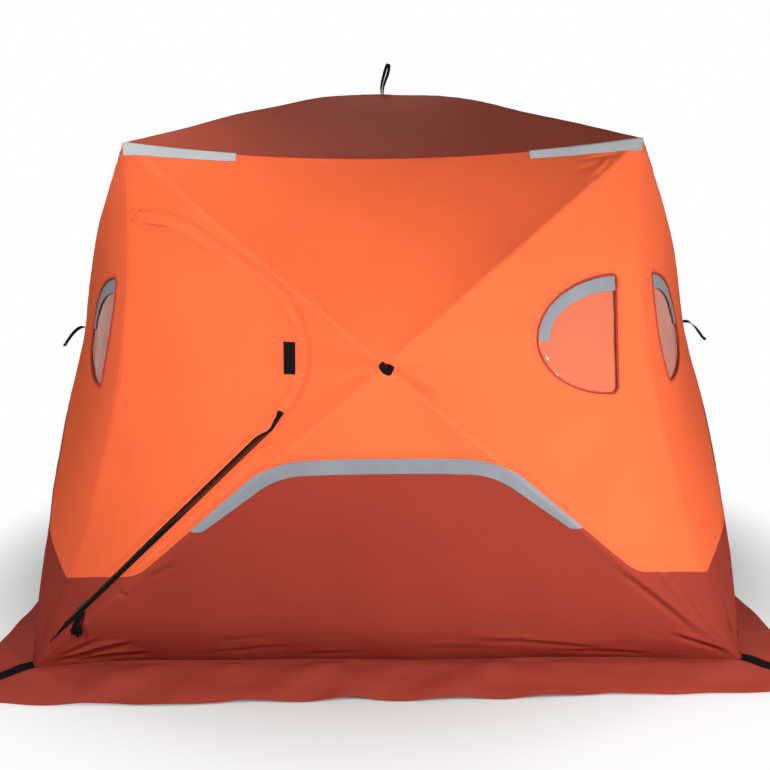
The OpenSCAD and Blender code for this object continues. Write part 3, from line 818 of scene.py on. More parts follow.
def spread(tree, value, low, high):
    """A value from 0 to 1 moved to lie between low and high."""
    n = tree.nodes.new("ShaderNodeMapRange")
    set_inputs(n, To_Min=low, To_Max=high)
    tree.links.new(value, n.inputs["Value"])
    return n.outputs[0]


def shades(tree, fac, first, last):
    """A colour ramp between two stops, each a place and a colour."""
    n = tree.nodes.new("ShaderNodeValToRGB")
    for stop, (at, colour) in zip(n.color_ramp.elements, (first, last)):
        stop.position = at
        stop.color = (*colour, 1)
    tree.links.new(fac, n.inputs["Fac"])
    return n.outputs["Color"]


def dimmed(tree, share, base, fac, first, last):
    """A colour multiplied, by a share, with a ramp of greys."""
    n = tree.nodes.new("ShaderNodeMix")
    n.data_type = "RGBA"
    n.blend_type = "MULTIPLY"
    feed(tree, n.inputs[0], share)
    feed(tree, n.inputs[6], base)
    feed(tree, n.inputs[7], shades(tree, fac, first, last))
    return n.outputs[2]


def bumps(tree, shader, layers):
    """Bump layers, each a height, a strength and a distance."""
    normal = None
    for height, strength, distance in layers:
        n = tree.nodes.new("ShaderNodeBump")
        set_inputs(n, Strength=strength, Distance=distance)
        tree.links.new(height, n.inputs["Height"])
        if normal is not None:
            tree.links.new(normal, n.inputs["Normal"])
        normal = n.outputs["Normal"]
    tree.links.new(normal, shader.inputs["Normal"])


def mix_to_surface(tree, output, share, first, second):
    """Sends a mix of two shaders to the output node."""
    mix = tree.nodes.new("ShaderNodeMixShader")
    for socket, value in zip(mix.inputs, (share, first.outputs[0], second.outputs[0])):
        tree.links.new(value, socket)
    tree.links.new(mix.outputs[0], tree.nodes[output].inputs["Surface"])


def tint(colour, k):
    return tuple(min(1.0, c * k) for c in colour)


WHITE = (1, 1, 1)


def cloth_finish(name, colour, rough=0.80, sheen=0.0, weave=0.0011):
    """Coated tent cloth: a fine plain weave, a soft sheen and slight clouding of the dye."""
    mat, tree, shader = finish_base(name, colour, rough)
    set_inputs(shader, Sheen_Weight=sheen, Sheen_Roughness=0.45, Specular_IOR_Level=0.02)
    where = tree.nodes.new("ShaderNodeTexCoord")
    cut, place = where.outputs["UV"], where.outputs["Object"]
    thread = math_node(tree, "MULTIPLY", wave(tree, cut, "X", weave), wave(tree, cut, "Y", weave * 0.9))
    slub = noise(tree, mapped(tree, cut, Scale=(1.0, 0.06, 1.0)), scale=90, detail=2)
    cloud = noise(tree, place, scale=2.6, detail=4)
    base = shades(tree, cloud, (0.3, tint(colour, 0.94)), (0.7, tint(colour, 1.04)))
    base = dimmed(tree, 1.0, base, thread, (0.0, (0.90, 0.90, 0.90)), (1.0, WHITE))
    base = dimmed(tree, 0.16, base, slub, (0.35, (0.93, 0.93, 0.93)), (0.65, WHITE))
    tree.links.new(base, shader.inputs["Base Color"])
    grain = spread(tree, noise(tree, place, scale=160, detail=2), rough - 0.06, rough + 0.08)
    tree.links.new(grain, shader.inputs["Roughness"])
    crumple = noise(tree, place, scale=22, detail=5)
    bumps(tree, shader, [(crumple, 0.10, 0.004), (thread, 0.25, 0.0003)])
    return mat


def tape_finish(name, colour):
    """Reflective tape: fine glass beads in a sealed diamond grid."""
    mat, tree, shader = finish_base(name, colour, 0.6)
    set_inputs(shader, Specular_IOR_Level=0.06)
    where = tree.nodes.new("ShaderNodeTexCoord")
    diamond = mapped(tree, where.outputs["UV"], Rotation=(0, 0, math.radians(45)))
    grid = math_node(tree, "MAXIMUM", wave(tree, diamond, "X", 0.007), wave(tree, diamond, "Y", 0.007))
    beads = tree.nodes.new("ShaderNodeTexVoronoi")
    set_inputs(beads, Scale=1400)
    tree.links.new(where.outputs["UV"], beads.inputs["Vector"])
    cloud = noise(tree, where.outputs["Object"], scale=9, detail=4)
    base = shades(tree, cloud, (0.3, tint(colour, 0.92)), (0.7, tint(colour, 1.06)))
    base = dimmed(tree, 0.6, base, grid, (0.90, WHITE), (0.99, (0.86, 0.87, 0.88)))
    tree.links.new(base, shader.inputs["Base Color"])
    bumps(tree, shader, [(cloud, 0.15, 0.004), (beads.outputs["Distance"], 0.12, 0.0004)])
    return mat


def webbing_finish(name, colour):
    """Woven webbing: close ribs across and a finer twill along."""
    mat, tree, shader = finish_base(name, colour, 0.8)
    set_inputs(shader, Specular_IOR_Level=0.06)
    where = tree.nodes.new("ShaderNodeTexCoord")
    cut = where.outputs["UV"]
    ribs = math_node(tree, "MULTIPLY", wave(tree, cut, "X", 0.0021), wave(tree, cut, "Y", 0.0016))
    fluff = noise(tree, where.outputs["Object"], scale=300)
    base = shades(tree, ribs, (0.0, tint(colour, 0.55)), (1.0, tint(colour, 1.25)))
    base = dimmed(tree, 0.5, base, fluff, (0.3, (0.75, 0.75, 0.75)), (0.7, WHITE))
    tree.links.new(base, shader.inputs["Base Color"])
    bumps(tree, shader, [(ribs, 0.7, 0.0006), (fluff, 0.2, 0.0004)])
    return mat


def moulded_finish(name, colour, rough, scale=400, metal=0.0):
    """Moulded plastic, metal or pulled rod: fine grain, faint mottling, rubbed places a little glossier."""
    mat, tree, shader = finish_base(name, colour, rough)
    set_inputs(shader, Metallic=metal)
    place = tree.nodes.new("ShaderNodeTexCoord").outputs["Object"]
    rub = noise(tree, place, scale=14, detail=4)
    base = shades(tree, rub, (0.3, tint(colour, 0.8)), (0.7, tint(colour, 1.2)))
    tree.links.new(base, shader.inputs["Base Color"])
    tree.links.new(spread(tree, rub, rough - 0.12, rough + 0.12), shader.inputs["Roughness"])
    bumps(tree, shader, [(noise(tree, place, scale), 0.25, 0.0004)])
    return mat


def film_finish(name):
    """Clear window film: mostly see-through, with a real gloss that its buckles catch, and a brownish haze
    that grows towards a grazing view, which is painted shade standing in for dark surroundings mirrored in
    the film.
    """
    mat, tree, shader = finish_base(name, (0.62, 0.19, 0.10), 0.05)
    set_inputs(shader, Specular_IOR_Level=0.9, IOR=1.5)
    place = tree.nodes.new("ShaderNodeTexCoord").outputs["Object"]
    bumps(tree, shader, [(noise(tree, place, scale=30, detail=4), 0.12, 0.003)])
    clear = tree.nodes.new("ShaderNodeBsdfTransparent")
    set_inputs(clear, Color=(0.96, 0.95, 0.945, 1))
    edge = tree.nodes.new("ShaderNodeLayerWeight")
    set_inputs(edge, Blend=0.22)
    # The share of brownish haze grows towards a grazing view: painted shade, for dark surroundings mirrored
    # in the film.
    share = spread(tree, edge.outputs["Fresnel"], 0.18, 0.50)
    mix_to_surface(tree, "Material Output", share, clear, shader)
    return mat


orange_cloth = cloth_finish("orange_tent_cloth", (0.94, 0.148, 0.053))
red_cloth = cloth_finish("dark_red_tent_cloth", (0.325, 0.0445, 0.0285), 0.7)
# The roof's red is a paler, greyer copy of the wall's dark red: a painted sheen, standing in for the grey
# gloss of the cloth seen at a grazing angle.
roof_red_painted_sheen = cloth_finish("roof_cloth", (0.37, 0.074, 0.045), 0.7)
# The skirt's red is a lighter copy of the wall's dark red: painted light, standing in for light the lamps do
# not bring to the skirt.
skirt_red_painted_light = cloth_finish("skirt_cloth", (0.37, 0.057, 0.038), 0.7)
blind_cloth = cloth_finish("blind_cloth", (0.98, 0.250, 0.118), 0.7)
piping_cloth = cloth_finish("piping_cloth", (0.42, 0.050, 0.030), 0.6, sheen=0.05, weave=0.0009)
grey_tape = tape_finish("reflective_tape", (0.225, 0.240, 0.265))
# The eave tapes' grey is a lighter copy of the strips' grey: a painted reflection, standing in for the light
# that the tape's beads send back towards the camera.
eave_tape_painted_reflection = tape_finish("reflective_tape_painted_reflection", (0.375, 0.385, 0.400))
black_web = webbing_finish("black_webbing", (0.0065, 0.0058, 0.0058))
zip_tape = webbing_finish("zip_tape", (0.0050, 0.0034, 0.0030))
# The facing's dark brown is painted shade, standing in for orange cloth in the shadow of the zip's gap.
zip_facing_painted_shade = webbing_finish("zip_facing_painted_shade", (0.125, 0.021, 0.0065))
zip_teeth = moulded_finish("zip_coil", (0.030, 0.022, 0.020), 0.35)
slider_metal = moulded_finish("slider_metal", (0.012, 0.012, 0.013), 0.42, metal=0.3)
orange_thread = webbing_finish("orange_thread", (0.72, 0.115, 0.036))
red_thread = webbing_finish("dark_red_thread", (0.26, 0.034, 0.022))
black_thread = webbing_finish("black_thread", (0.03, 0.03, 0.03))
rod = moulded_finish("pole_rod", (0.055, 0.058, 0.062), 0.38, scale=700)
hub_plastic = moulded_finish("hub_plastic", (0.020, 0.020, 0.021), 0.5)
eyelet_metal = moulded_finish("eyelet_metal", (0.42, 0.42, 0.43), 0.3, metal=1.0)
window_film = film_finish("window_film")


# Bodies: pieces go on the tent or the door; those that run across the hinge only have their placing baked in

# Soft sheets: the piece, how it is held, and what it rests on
sheets = []


def settle(piece, nodes=(), body="tent"):
    """Puts a finished piece on its body and hides the solids it stands for; a piece on the hinge only has its
    placing baked in.
    """
    if body == "hinge":
        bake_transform(piece)
    else:
        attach(piece, body)
    if nodes:
        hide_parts(*nodes)
    return piece


def flat_cut(piece):
    """The size a sheet was cut to: its pattern's box and area, scaled to the cloth in the shaped sheet."""
    mesh = piece.data
    uv = np.zeros(2 * len(mesh.loops), np.float32)
    mesh.uv_layers[0].data.foreach_get("uv", uv)
    uv = uv.reshape(-1, 2)
    pattern = 0.0
    for p in mesh.polygons:
        q = uv[p.loop_start:p.loop_start + p.loop_total]
        r = np.roll(q, -1, 0)
        pattern += abs(float((q[:, 0] * r[:, 1] - q[:, 1] * r[:, 0]).sum())) / 2
    cloth = sum(p.area for p in mesh.polygons) / 2
    grow = math.sqrt(2 * cloth / pattern)
    wide, tall = (uv.max(0) - uv.min(0)) * grow
    return (float(wide), float(tall)), min(cloth, float(wide * tall))


# Walls: each is cut once along its sewing lines, then sorted into its panels

SPLIT = split_line()
DOOR_HOLE = rounded(DOOR)
DOOR_EDGE = rounded(moved_in(DOOR, [DOOR_GAP, DOOR_GAP, DOOR_GAP, 0.0]))


def split_z(x):
    return np.interp(x, SPLIT[:, 0], SPLIT[:, 1])


for wall in TURNS:
    hole = window_line(WINDOW_AT[wall])
    lines = [(SPLIT, False), (hole, True)] + ridge_lines((0, HUB_H), WALL_CORNERS)
    if wall == "front":
        lines.append((DOOR_HOLE, True))
    flat, faces, mid = cut_cloth(rim_line(WALL_CORNERS, WALL_PULL), lines, STEP[wall])
    stay = ~within(mid, hole)
    if wall == "front":
        stay &= ~within(mid, DOOR_HOLE)
    above = mid[:, 1] > split_z(mid[:, 0])
    upper = sew_panel(wall + "_upper_cloth", wall, flat, faces[stay & above], orange_cloth)
    lower = sew_panel(wall + "_lower_cloth", wall, flat, faces[stay & ~above], red_cloth)
    settle(upper, [wall + "_upper_panel"])
    settle(lower, [wall + "_lower_panel"])
    poles = [wall + "_poles"]
    sheets += [(upper, "stretched", poles), (lower, "stretched", poles)]

# Door: the same cut of cloth, free along its zip and running on into the wall along its hinge line

flat, faces, mid = cut_cloth(DOOR_EDGE, [(SPLIT, False)], STEP["door"])
above = mid[:, 1] > split_z(mid[:, 0])
door_upper = sew_panel("door_upper_cloth", "front", flat, faces[above], orange_cloth)
door_lower = sew_panel("door_lower_cloth", "front", flat, faces[~above], red_cloth)
settle(door_upper, ["door_upper_panel"], "hinge")
settle(door_lower, ["door_lower_panel"], "hinge")
sheets += [(door_upper, "hung", ["front_upper_cloth"]), (door_lower, "hung", ["front_lower_cloth"])]

# Roof

roof_rim = rim_line(ROOF_CORNERS, ROOF_PULL)
flat, faces, _ = cut_cloth(roof_rim, ridge_lines((0, 0), ROOF_CORNERS), STEP["roof"])
# The roof takes the paler red, which is a painted sheen.
roof = sew_panel("roof_cloth", "roof", flat, faces, roof_red_painted_sheen)
settle(roof, ["roof_panel"])
sheets.append((roof, "stretched", ["roof_poles"]))


# Snow skirt: one ring of cloth that lies on the floor, with ripples and a doubled hem

def skirt_net(cols=200, rows=22):
    """The skirt's flat net: four sides, each wavy along its outer edge; the front one lies further out."""
    u = np.linspace(-1, 1, cols, endpoint=False)[None]
    v = np.linspace(0, 1, rows)[:, None]
    corner = np.abs(u) ** 8
    sides = []
    for k in range(4):
        wavy = SKIRT_OUT - 0.003 + 0.0045 * np.sin(9.1 * u + 1.3 * k) + 0.0025 * np.sin(23 * u + 2 * k)
        if k == 0:
            wavy = wavy + 0.024 - 0.021 * u
        half = SKIRT_IN + (wavy * (1 - corner) + SKIRT_OUT * corner - SKIRT_IN) * v
        g = k * math.pi / 2
        x, y = u * half, -half
        sides.append(np.stack([x * math.cos(g) - y * math.sin(g), x * math.sin(g) + y * math.cos(g)], -1))
    return np.concatenate(sides, 1)


def skirt_height(x, y):
    reach = np.clip((np.maximum(np.abs(x), np.abs(y)) - SKIRT_IN) / (SKIRT_OUT - SKIRT_IN), 0, 1)
    fold = np.abs(np.sin(7.3 * (x + 0.45 * y) + 1.1 * np.sin(2.2 * x + 0.4))) ** 14
    fold = fold + np.abs(np.sin(5.9 * (x - 0.6 * y) + 2.0)) ** 18
    hem = 0.0016 * ease((reach - 0.87) / 0.02)
    waves = ripple(x, y, seed=41, count=10, shortest=0.08, longest=0.26)
    wave_up = 0.0044 * (1 + waves / 1.6) * ease((reach - 0.12) / 0.3)
    folds = 0.0105 * fold * ease((reach - 0.15) / 0.2) * (1.15 - 0.8 * reach)
    return 0.0021 + hem + np.clip(wave_up, 0, None) + folds


flat = skirt_net()
grid = np.concatenate([flat, skirt_height(flat[..., 0], flat[..., 1])[..., None]], -1)
n = np.cross(np.gradient(grid, axis=0), np.roll(grid, -1, 1) - np.roll(grid, 1, 1))
n = unit(n * np.sign(n[..., 2:]))
faces = grid_faces(grid.shape[0], grid.shape[1], True)[:, ::-1]
# The skirt takes the lighter red, which is painted light.
skirt = put_shell("skirt_cloth", grid.reshape(-1, 3), n.reshape(-1, 3), faces, flat.reshape(-1, 2),
                  skirt_red_painted_light, CLOTH)
settle(skirt, ["snow_skirt"])
sheets.append((skirt, "laid", ["floor"]))


# Reflective tape: a strip under each hump of the colour split, and tapes over the eaves at the roof corners

TAPE = 0.0008


def hump_strip(wall):
    x = np.linspace(-STRIP_TOP_END, STRIP_TOP_END, 120)
    upper = np.stack([x, split_z(x)], 1)
    lower = both_halves([(STRIP_SHOULDER, SHOULDER[1] - STRIP_W, SHOULDER_ROUND - STRIP_W), (*STRIP_FOOT, 0)])
    strip = laid_band("reflective_strip_" + wall, wall, upper, lower, 320, grey_tape,
                      lift=0.0017, thick=TAPE, depth=10)
    return settle(strip, ["strip_" + wall])


def eave_tape(wall, side):
    """A tape that lies on the wall below the eave and folds over it onto the roof."""
    s = np.linspace(0.014 if wall in ("left", "right") else 0, 0.2155, 80)
    eave = eave_line(s if side < 0 else 1 - s)
    go = np.linspace(0, 1, len(s))
    on_wall_width = 0.036 - 0.011 * go
    on_roof_width = 0.007 - 0.003 * go
    across = eave[:, 0] - side * 0.002 * (1 - go)
    even = turned(np.tile([0, -0.95, 0.31], (len(s), 1)), wall)
    rows, ups = [], []
    for v in np.linspace(1.0, 0.08, 12):
        rows.append(on_wall(wall, np.stack([across, eave[:, 2] - on_wall_width * v], 1), 0.0018)[0])
        ups.append(even)
    back = [np.stack([eave[:, 0], eave[:, 1] + on_roof_width * v], 1) for v in (0.2, 0.6, 1.0)]
    folded = [on_roof(places, 0.0016) for places in back]
    crest = unit(even + turned(folded[0][1], wall))
    rows.append(turned(eave, wall) + crest * 0.0034)
    ups.append(crest)
    for p, n in folded:
        rows.append(turned(p, wall))
        ups.append(turned(n, wall))
    # The eave tapes take the lighter grey, which is a painted reflection.
    return band("eave_tape", rows, ups, eave_tape_painted_reflection, TAPE)


for wall in TURNS:
    hump_strip(wall)
eave_tapes = [eave_tape(wall, side) for wall in TURNS for side in (-1, 1)]
settle(join("eave_corner_tapes", eave_tapes), ["corner_tapes"])


# Bound seams along the eaves and down the corners

def corner_seams():
    red, orange = [], []
    s = np.linspace(0, 1, 70)
    for wall in TURNS:
        red.append(tube("seam", turned(eave_line(s), wall), 0.0024, red_cloth))
        e = rim_edge(WALL_CORNERS, WALL_PULL, 1, s)
        p = turned(np.stack([e[:, 0] - 0.001, 0.001 - e[:, 2], e[:, 1]], 1), wall)
        low = int(np.searchsorted(-e[:, 1], -split_z(1.02)))
        orange.append(tube("seam", p[:low + 1], 0.0012, orange_cloth))
        red.append(tube("seam", p[low:], 0.0012, red_cloth))
    settle(join("dark_red_seams", red))
    settle(join("orange_corner_seams", orange))


corner_seams()


# Windows: clear film behind the cloth, a blind behind that, piping round the cut and a reflective arch

WINDOW_HEM = 0.012


def film_lift(side):
    """Film lies flat, but puckers along its edge at the tip of the D, where it catches the light."""
    def lift(flat):
        across = (WIN_SIDE - side * flat[:, 0]) / WIN_W
        up = (flat[:, 1] - WIN_MID) / WIN_H
        inwards = 1 - np.hypot(across, up)
        round_tip = np.arctan2(up, across)
        near = np.exp(-((round_tip + 0.38) / 0.36) ** 2 - np.abs(inwards) / 0.15)
        pucker = near * np.sin(62 * inwards + 2.2 * np.sin(13 * round_tip))
        slack = ripple(flat[:, 0], flat[:, 1], seed=77, count=8, shortest=0.05, longest=0.15)
        return -0.0052 + 0.0028 * pucker + 0.0002 * slack
    return lift


def blind_lift(flat):
    slack = ripple(flat[:, 0], flat[:, 1], seed=31, count=10, shortest=0.08, longest=0.25)
    return -0.0092 + 0.0009 * slack


def arch_line(side, in_side, in_up, stop):
    """Part of the window's curve, moved inwards: from just below the tip of the D to the stop."""
    g = np.linspace(-0.06, math.pi / 2, 60)
    across = np.minimum(WIN_SIDE - (WIN_W - in_side) * np.cos(g), WIN_SIDE - stop)
    return np.stack([side * across, WIN_MID + (WIN_H - in_up) * np.sin(g)], 1)


def window_parts(wall):
    side = WINDOW_AT[wall]
    line = window_line(side, WINDOW_HEM)
    flat, faces, _ = cut_cloth(line, [], step=0.0045)
    film = sew_panel(wall + "_window_film", wall, flat, faces, window_film, film_lift(side), thick=0.0005)
    line[:, 0] = side * np.minimum(side * line[:, 0], WIN_SIDE - 0.0005)
    flat, faces, _ = cut_cloth(line, [], step=0.012)
    blind = sew_panel(wall + "_window_blind", wall, flat, faces, blind_cloth, blind_lift, thick=0.0012)
    piping = []
    for grow, radius in ((0.0014, 0.0019), (0.0050, 0.0017)):
        p, _ = on_wall(wall, walk(window_line(side, grow), 0.008, True), lift=0.0008)
        piping.append(tube("piping", p, radius, piping_cloth, closed=True))
    outer = arch_line(side, in_side=0.001, in_up=0.004, stop=0.004)
    inner = arch_line(side, in_side=0.039, in_up=0.049, stop=0.0)
    arch = laid_band("arch", wall, outer, inner, 60, grey_tape, lift=-0.0016, thick=0.0007)
    return film, blind, piping, arch


cords, arches = [], []
for wall in TURNS:
    film, blind, piping, arch = window_parts(wall)
    settle(film, ["window_films"])
    settle(blind, ["window_blinds"])
    sheets += [(film, "stretched", [wall + "_upper_cloth"]), (blind, "hung", [wall + "_upper_cloth"])]
    cords += piping
    arches.append(arch)
settle(join("window_piping_cords", cords), ["window_piping"])
settle(join("window_tape_arches", arches), ["window_arches"])


# Door edge: storm flap over the upper run of the zip, and its stitched box on the wall

HEAD, BEND, NOSE, TOE = [np.array(v[:2]) for v in DOOR]
ZIP_RUN = unit(TOE - NOSE)
ZIP_IN = np.array([ZIP_RUN[1], -ZIP_RUN[0]])
ZIP_START = NOSE + ZIP_RUN * 0.370
TOP_RUN = unit(BEND - HEAD)
TOP_IN = np.array([TOP_RUN[1], -TOP_RUN[0]])


def beside(line, inwards):
    d = unit(np.gradient(line, axis=0))
    inwards = np.broadcast_to(inwards, len(line))[:, None]
    return line + np.stack([d[:, 1], -d[:, 0]], 1) * inwards


def flap_lift(run, across):
    """The flap stands off the door near its upper end, and ripples along the rest."""
    stand = 0.0130 * np.exp(-((run - 0.13) / 0.095) ** 2) + 0.0030 + 0.0013 * np.sin(70 * run) * (run > 0.25)
    return 0.0020 + stand * ease((across - 0.25) / 0.75)


FLAP_POINTS = 170
flap_line = spaced(np.vstack([HEAD - TOP_RUN * 0.03, DOOR_HOLE[1:-1], ZIP_START]), FLAP_POINTS)
flap_go = np.linspace(0, 1, len(flap_line))
flap_wide = 0.043 - 0.010 * ease(flap_go / 0.6) - 0.006 * ease((flap_go - 0.85) / 0.15)
storm_flap = laid_band("storm_flap_cloth", "front", beside(flap_line, -0.0025), beside(flap_line, flap_wide),
                       FLAP_POINTS, orange_cloth, flap_lift, thick=0.0012, depth=9)
settle(storm_flap, ["door_storm_flap"], "hinge")
sheets.append((storm_flap, "hung", ["door_upper_cloth"]))
box_top = np.stack([HEAD - TOP_RUN * 0.0655, HEAD - TOP_RUN * 0.024])
box_patch = laid_band("flap_box_patch", "front", box_top - TOP_IN * 0.003, box_top + TOP_IN * 0.044,
                      14, orange_cloth, lift=0.0024, thick=CLOTH, depth=12)
settle(box_patch, ["flap_box"])


# Door zip: facing and tape on the wall's side of the gap, tape and coil on the door. The facing is a real
# strip, but its dark brown is painted shade: the orange cloth as it looks in the shadow of the gap.

TAPE_THICK = 0.0010
COIL_IN = 0.0105

zip_line = spaced(np.stack([ZIP_START, TOE]), 120)
zip_go = np.linspace(0, 1, len(zip_line))
opening = ease(zip_go / 0.08 + 0.12)[:, None]
closing = ease((zip_go - 0.30) / 0.25)[:, None]
shut = slice(36, None)
facing = laid_band("zip_facing_painted_shade", "front", zip_line - ZIP_IN * 0.0008, zip_line + ZIP_IN * 0.0085 * opening,
                   120, zip_facing_painted_shade, lift=0.0009, thick=0.0024, depth=5)
tape_edge = zip_line + ZIP_IN * (0.0090 * closing - 0.0008)
wall_tape = laid_band("zip_wall_tape", "front", (zip_line - ZIP_IN * 0.0010)[shut], tape_edge[shut],
                      90, zip_tape, lift=0.0022, thick=TAPE_THICK, depth=5)
tail_go = np.linspace(0, 1, 30)[:, None]
tail_line = spaced(np.stack([TOE - ZIP_RUN * 0.01, TOE + ZIP_RUN * 0.082]), 30)
tail = laid_band("zip_tail", "front", tail_line, tail_line + ZIP_IN * (0.0125 - 0.0115 * tail_go),
                 30, zip_tape, lift=0.0008, thick=TAPE_THICK, depth=4)
settle(join("zip_wall_side", [facing, wall_tape, tail]))

zip_wide = (0.0085 * ease(zip_go / 0.08 + 0.25) - 0.004 * ease((zip_go - 0.45) / 0.5))[:, None]
door_tape = laid_band("zip_tape", "front", zip_line + ZIP_IN * 0.0084 * opening,
                      zip_line + ZIP_IN * (0.0086 * opening + zip_wide),
                      200, zip_tape, lift=0.0014, thick=TAPE_THICK, depth=5)
coil, coil_up = on_wall("front", spaced(zip_line[4:-2] + ZIP_IN * COIL_IN, 300), lift=0.0020)
coil_in = np.cross(coil_up, unit(np.gradient(coil, axis=0))) * 0.0020
teeth = [(np.stack([c - w, c + w]), np.stack([u, u])) for c, w, u in zip(coil, coil_in, coil_up)]
door_coil = threads("coil", teeth, zip_teeth, pitch=0.0040, long=0.0046, thick=0.0012)
settle(join("door_zip_half", [door_tape, door_coil]), ["door_zip"], "hinge")


# Patch at the upper end of the open zip, and the hook-and-loop tab

def stop_lift(run, across):
    return 0.0035 + 0.004 * np.sin(3.1 * run)


def tab_lift(run, across):
    return 0.0030 + 0.0012 * np.sin(5 * run) * across


stop_a = [(-0.3025, 0.823), (-0.3085, 0.800), (-0.3257, 0.7700)]
stop_b = [(-0.2860, 0.814), (-0.2990, 0.7945), (-0.3195, 0.7660)]
zip_stop = laid_band("zip_stop_patch", "front", stop_a, stop_b, 16, black_web, stop_lift,
                     thick=0.0016, depth=5)
settle(zip_stop)
tab_a = [(-0.289, 1.012), (-0.289, 0.920)]
tab_b = [(-0.255, 1.012), (-0.2555, 0.921)]
tab = laid_band("door_tab_webbing", "front", tab_a, tab_b, 30, black_web, tab_lift, thick=0.0022, depth=10)
settle(tab, ["door_tab"], "door")


# Zip sliders with webbing pulls

SLIDER = (0.012, 0.0062, 0.019)
SLIDER_LIFT = 0.0042


def torus(finish, **shape):
    """A ring, in the terms of Blender's own torus."""
    bpy.ops.mesh.primitive_torus_add(**shape)
    ring = bpy.context.object
    bpy.ops.object.transform_apply(location=True, rotation=True, scale=True)
    bpy.ops.object.shade_smooth()
    ring.data.materials.append(finish)
    return ring


def slider(at):
    """A zip slider: a small waisted body with a bridge that the pull hangs from."""
    bpy.ops.mesh.primitive_cube_add(size=1)
    body = bpy.context.object
    bpy.ops.object.mode_set(mode="EDIT")
    bpy.ops.transform.resize(value=SLIDER)
    bpy.ops.mesh.subdivide(number_cuts=2)
    bpy.ops.object.mode_set(mode="OBJECT")
    half = SLIDER[2] / 2
    for v in body.data.vertices:
        if abs(v.co.z) < 0.99 * half:
            v.co.x *= 1 - 0.22 * (1 - (v.co.z / half) ** 2)
    bpy.ops.object.mode_set(mode="EDIT")
    bpy.ops.mesh.select_all(action="SELECT")
    bpy.ops.mesh.bevel(offset=0.0011, segments=2, affect="EDGES")
    bpy.ops.object.mode_set(mode="OBJECT")
    bpy.ops.object.shade_smooth()
    body.data.materials.append(slider_metal)
    ring = torus(slider_metal, major_radius=0.0048, minor_radius=0.0012, major_segments=20, minor_segments=8,
                 location=(0, -SLIDER_LIFT, 0), rotation=(0, math.pi / 2, 0))
    whole = join("slider", [body, ring])
    p, n = on_wall("front", np.stack([at, at + ZIP_RUN * 0.01]), SLIDER_LIFT)
    z = Vector(p[0] - p[1]).normalized()
    y = -Vector(n[0])
    y = (y - z * y.dot(z)).normalized()
    turn = Matrix((y.cross(z), y, z)).transposed().to_4x4()
    whole.data.transform(Matrix.Translation(p[0].tolist()) @ turn)
    return whole


def hung_pull(at, way, long, wide, seed):
    t = np.linspace(0, 1, 22)
    bend = np.random.default_rng(seed).uniform(-0.006, 0.006)
    flat = at + np.outer(t * long, way) + np.outer(np.sin(t * 3.1) * bend, (way[1], -way[0]))
    p, n = on_wall("front", flat, 0.0075 + 0.006 * np.sin(t * 2.6) + 0.002 * seed)
    side = np.cross(n, np.gradient(p, axis=0)) + n * 0.006 * np.sin(4 * t[:, None] + seed)
    return webbing("pull", p, side, wide, black_web, thick=0.0016)


# Webbing pulls: where each starts beside the slider, which way it hangs, its length and width
PULLS = [
    ((0.012, -0.012), (-0.42, -0.90), 0.056, 0.010),
    ((0.018, -0.010), (-0.30, -0.95), 0.060, 0.010),
    ((0.020, 0.004), (-0.36, -0.93), 0.068, 0.009),
    ((0.024, 0.002), (-0.22, -0.97), 0.058, 0.009),
]
pull_at = ZIP_START + ZIP_RUN * 0.838 + ZIP_IN * COIL_IN
pulls = [slider(pull_at), slider(pull_at - ZIP_RUN * 0.024)]
for k, (start, way, long, wide) in enumerate(PULLS):
    pulls.append(hung_pull(pull_at + np.array(start), unit(np.array(way)), long, wide, k))
settle(join("zip_sliders_and_pulls", pulls), ["door_pulls"], "hinge")


# Pull straps on the hubs: loops of webbing along a line, each with the ways its width turns to

FRONT_LOOP = [(-0.005, -1.258, 0.961), (-0.009, -1.305, 0.970), (-0.010, -1.345, 0.977),
              (-0.006, -1.366, 0.968), (0.003, -1.373, 0.960), (0.014, -1.369, 0.957),
              (0.021, -1.350, 0.960), (0.015, -1.305, 0.960), (0.005, -1.258, 0.957)]
FRONT_TWIST = [(0.75, 0.1, 0.60), (0.70, 0.15, 0.70), (0.35, 0.2, 0.90), (0.30, 0.1, 0.95)]
ROOF_LOOP = [(-0.003, 0, 1.884), (-0.004, 0.002, 1.925), (0.010, 0.004, 1.98), (0.022, 0.0, 2.010),
             (0.029, 0.0, 2.006), (0.024, -0.004, 1.975), (0.006, -0.004, 1.925), (0.003, 0, 1.884)]
ROOF_TWIST = [(0.2, 1, 0), (0.75, 0.65, 0), (0.75, 0.65, 0), (0.2, 1, 0)]
SIDE_LOOP = [(0, -1.258, 0.960), (0.002, -1.292, 0.962), (0.004, -1.325, 0.938), (0.006, -1.360, 0.894),
             (0.005, -1.364, 0.886), (0.003, -1.360, 0.886), (0.001, -1.322, 0.934), (0, -1.290, 0.957),
             (0, -1.258, 0.956)]
SIDE_TWIST = [(1, 0, 0.05), (0.80, 0.35, 0.45), (0.55, 0.50, 0.65), (0.55, 0.50, 0.65), (0.80, 0.35, 0.45),
              (1, 0, 0.05)]
LOOP_POINTS = 70


def loop_strap(name, points, twist, node, width=0.020):
    line = curve_through(points, LOOP_POINTS)
    twist = np.asarray(twist, float)
    across = columns_at(np.linspace(0, 1, LOOP_POINTS), np.linspace(0, 1, len(twist)), twist)
    return settle(webbing(name, line, across, width, black_web, thick=0.0017), [node])


loop_strap("front_pull_loop", FRONT_LOOP, FRONT_TWIST, "front_strap", width=0.016)
loop_strap("roof_pull_loop", ROOF_LOOP, ROOF_TWIST, "roof_strap", width=0.014)
for wall in ("left", "right", "back"):
    line, twist = turned(np.array(SIDE_LOOP), wall), turned(np.array(SIDE_TWIST), wall)
    loop_strap(wall + "_pull_loop", line, twist, wall + "_strap")


# Anchor webbing on the skirt at the corners, each with an eyelet

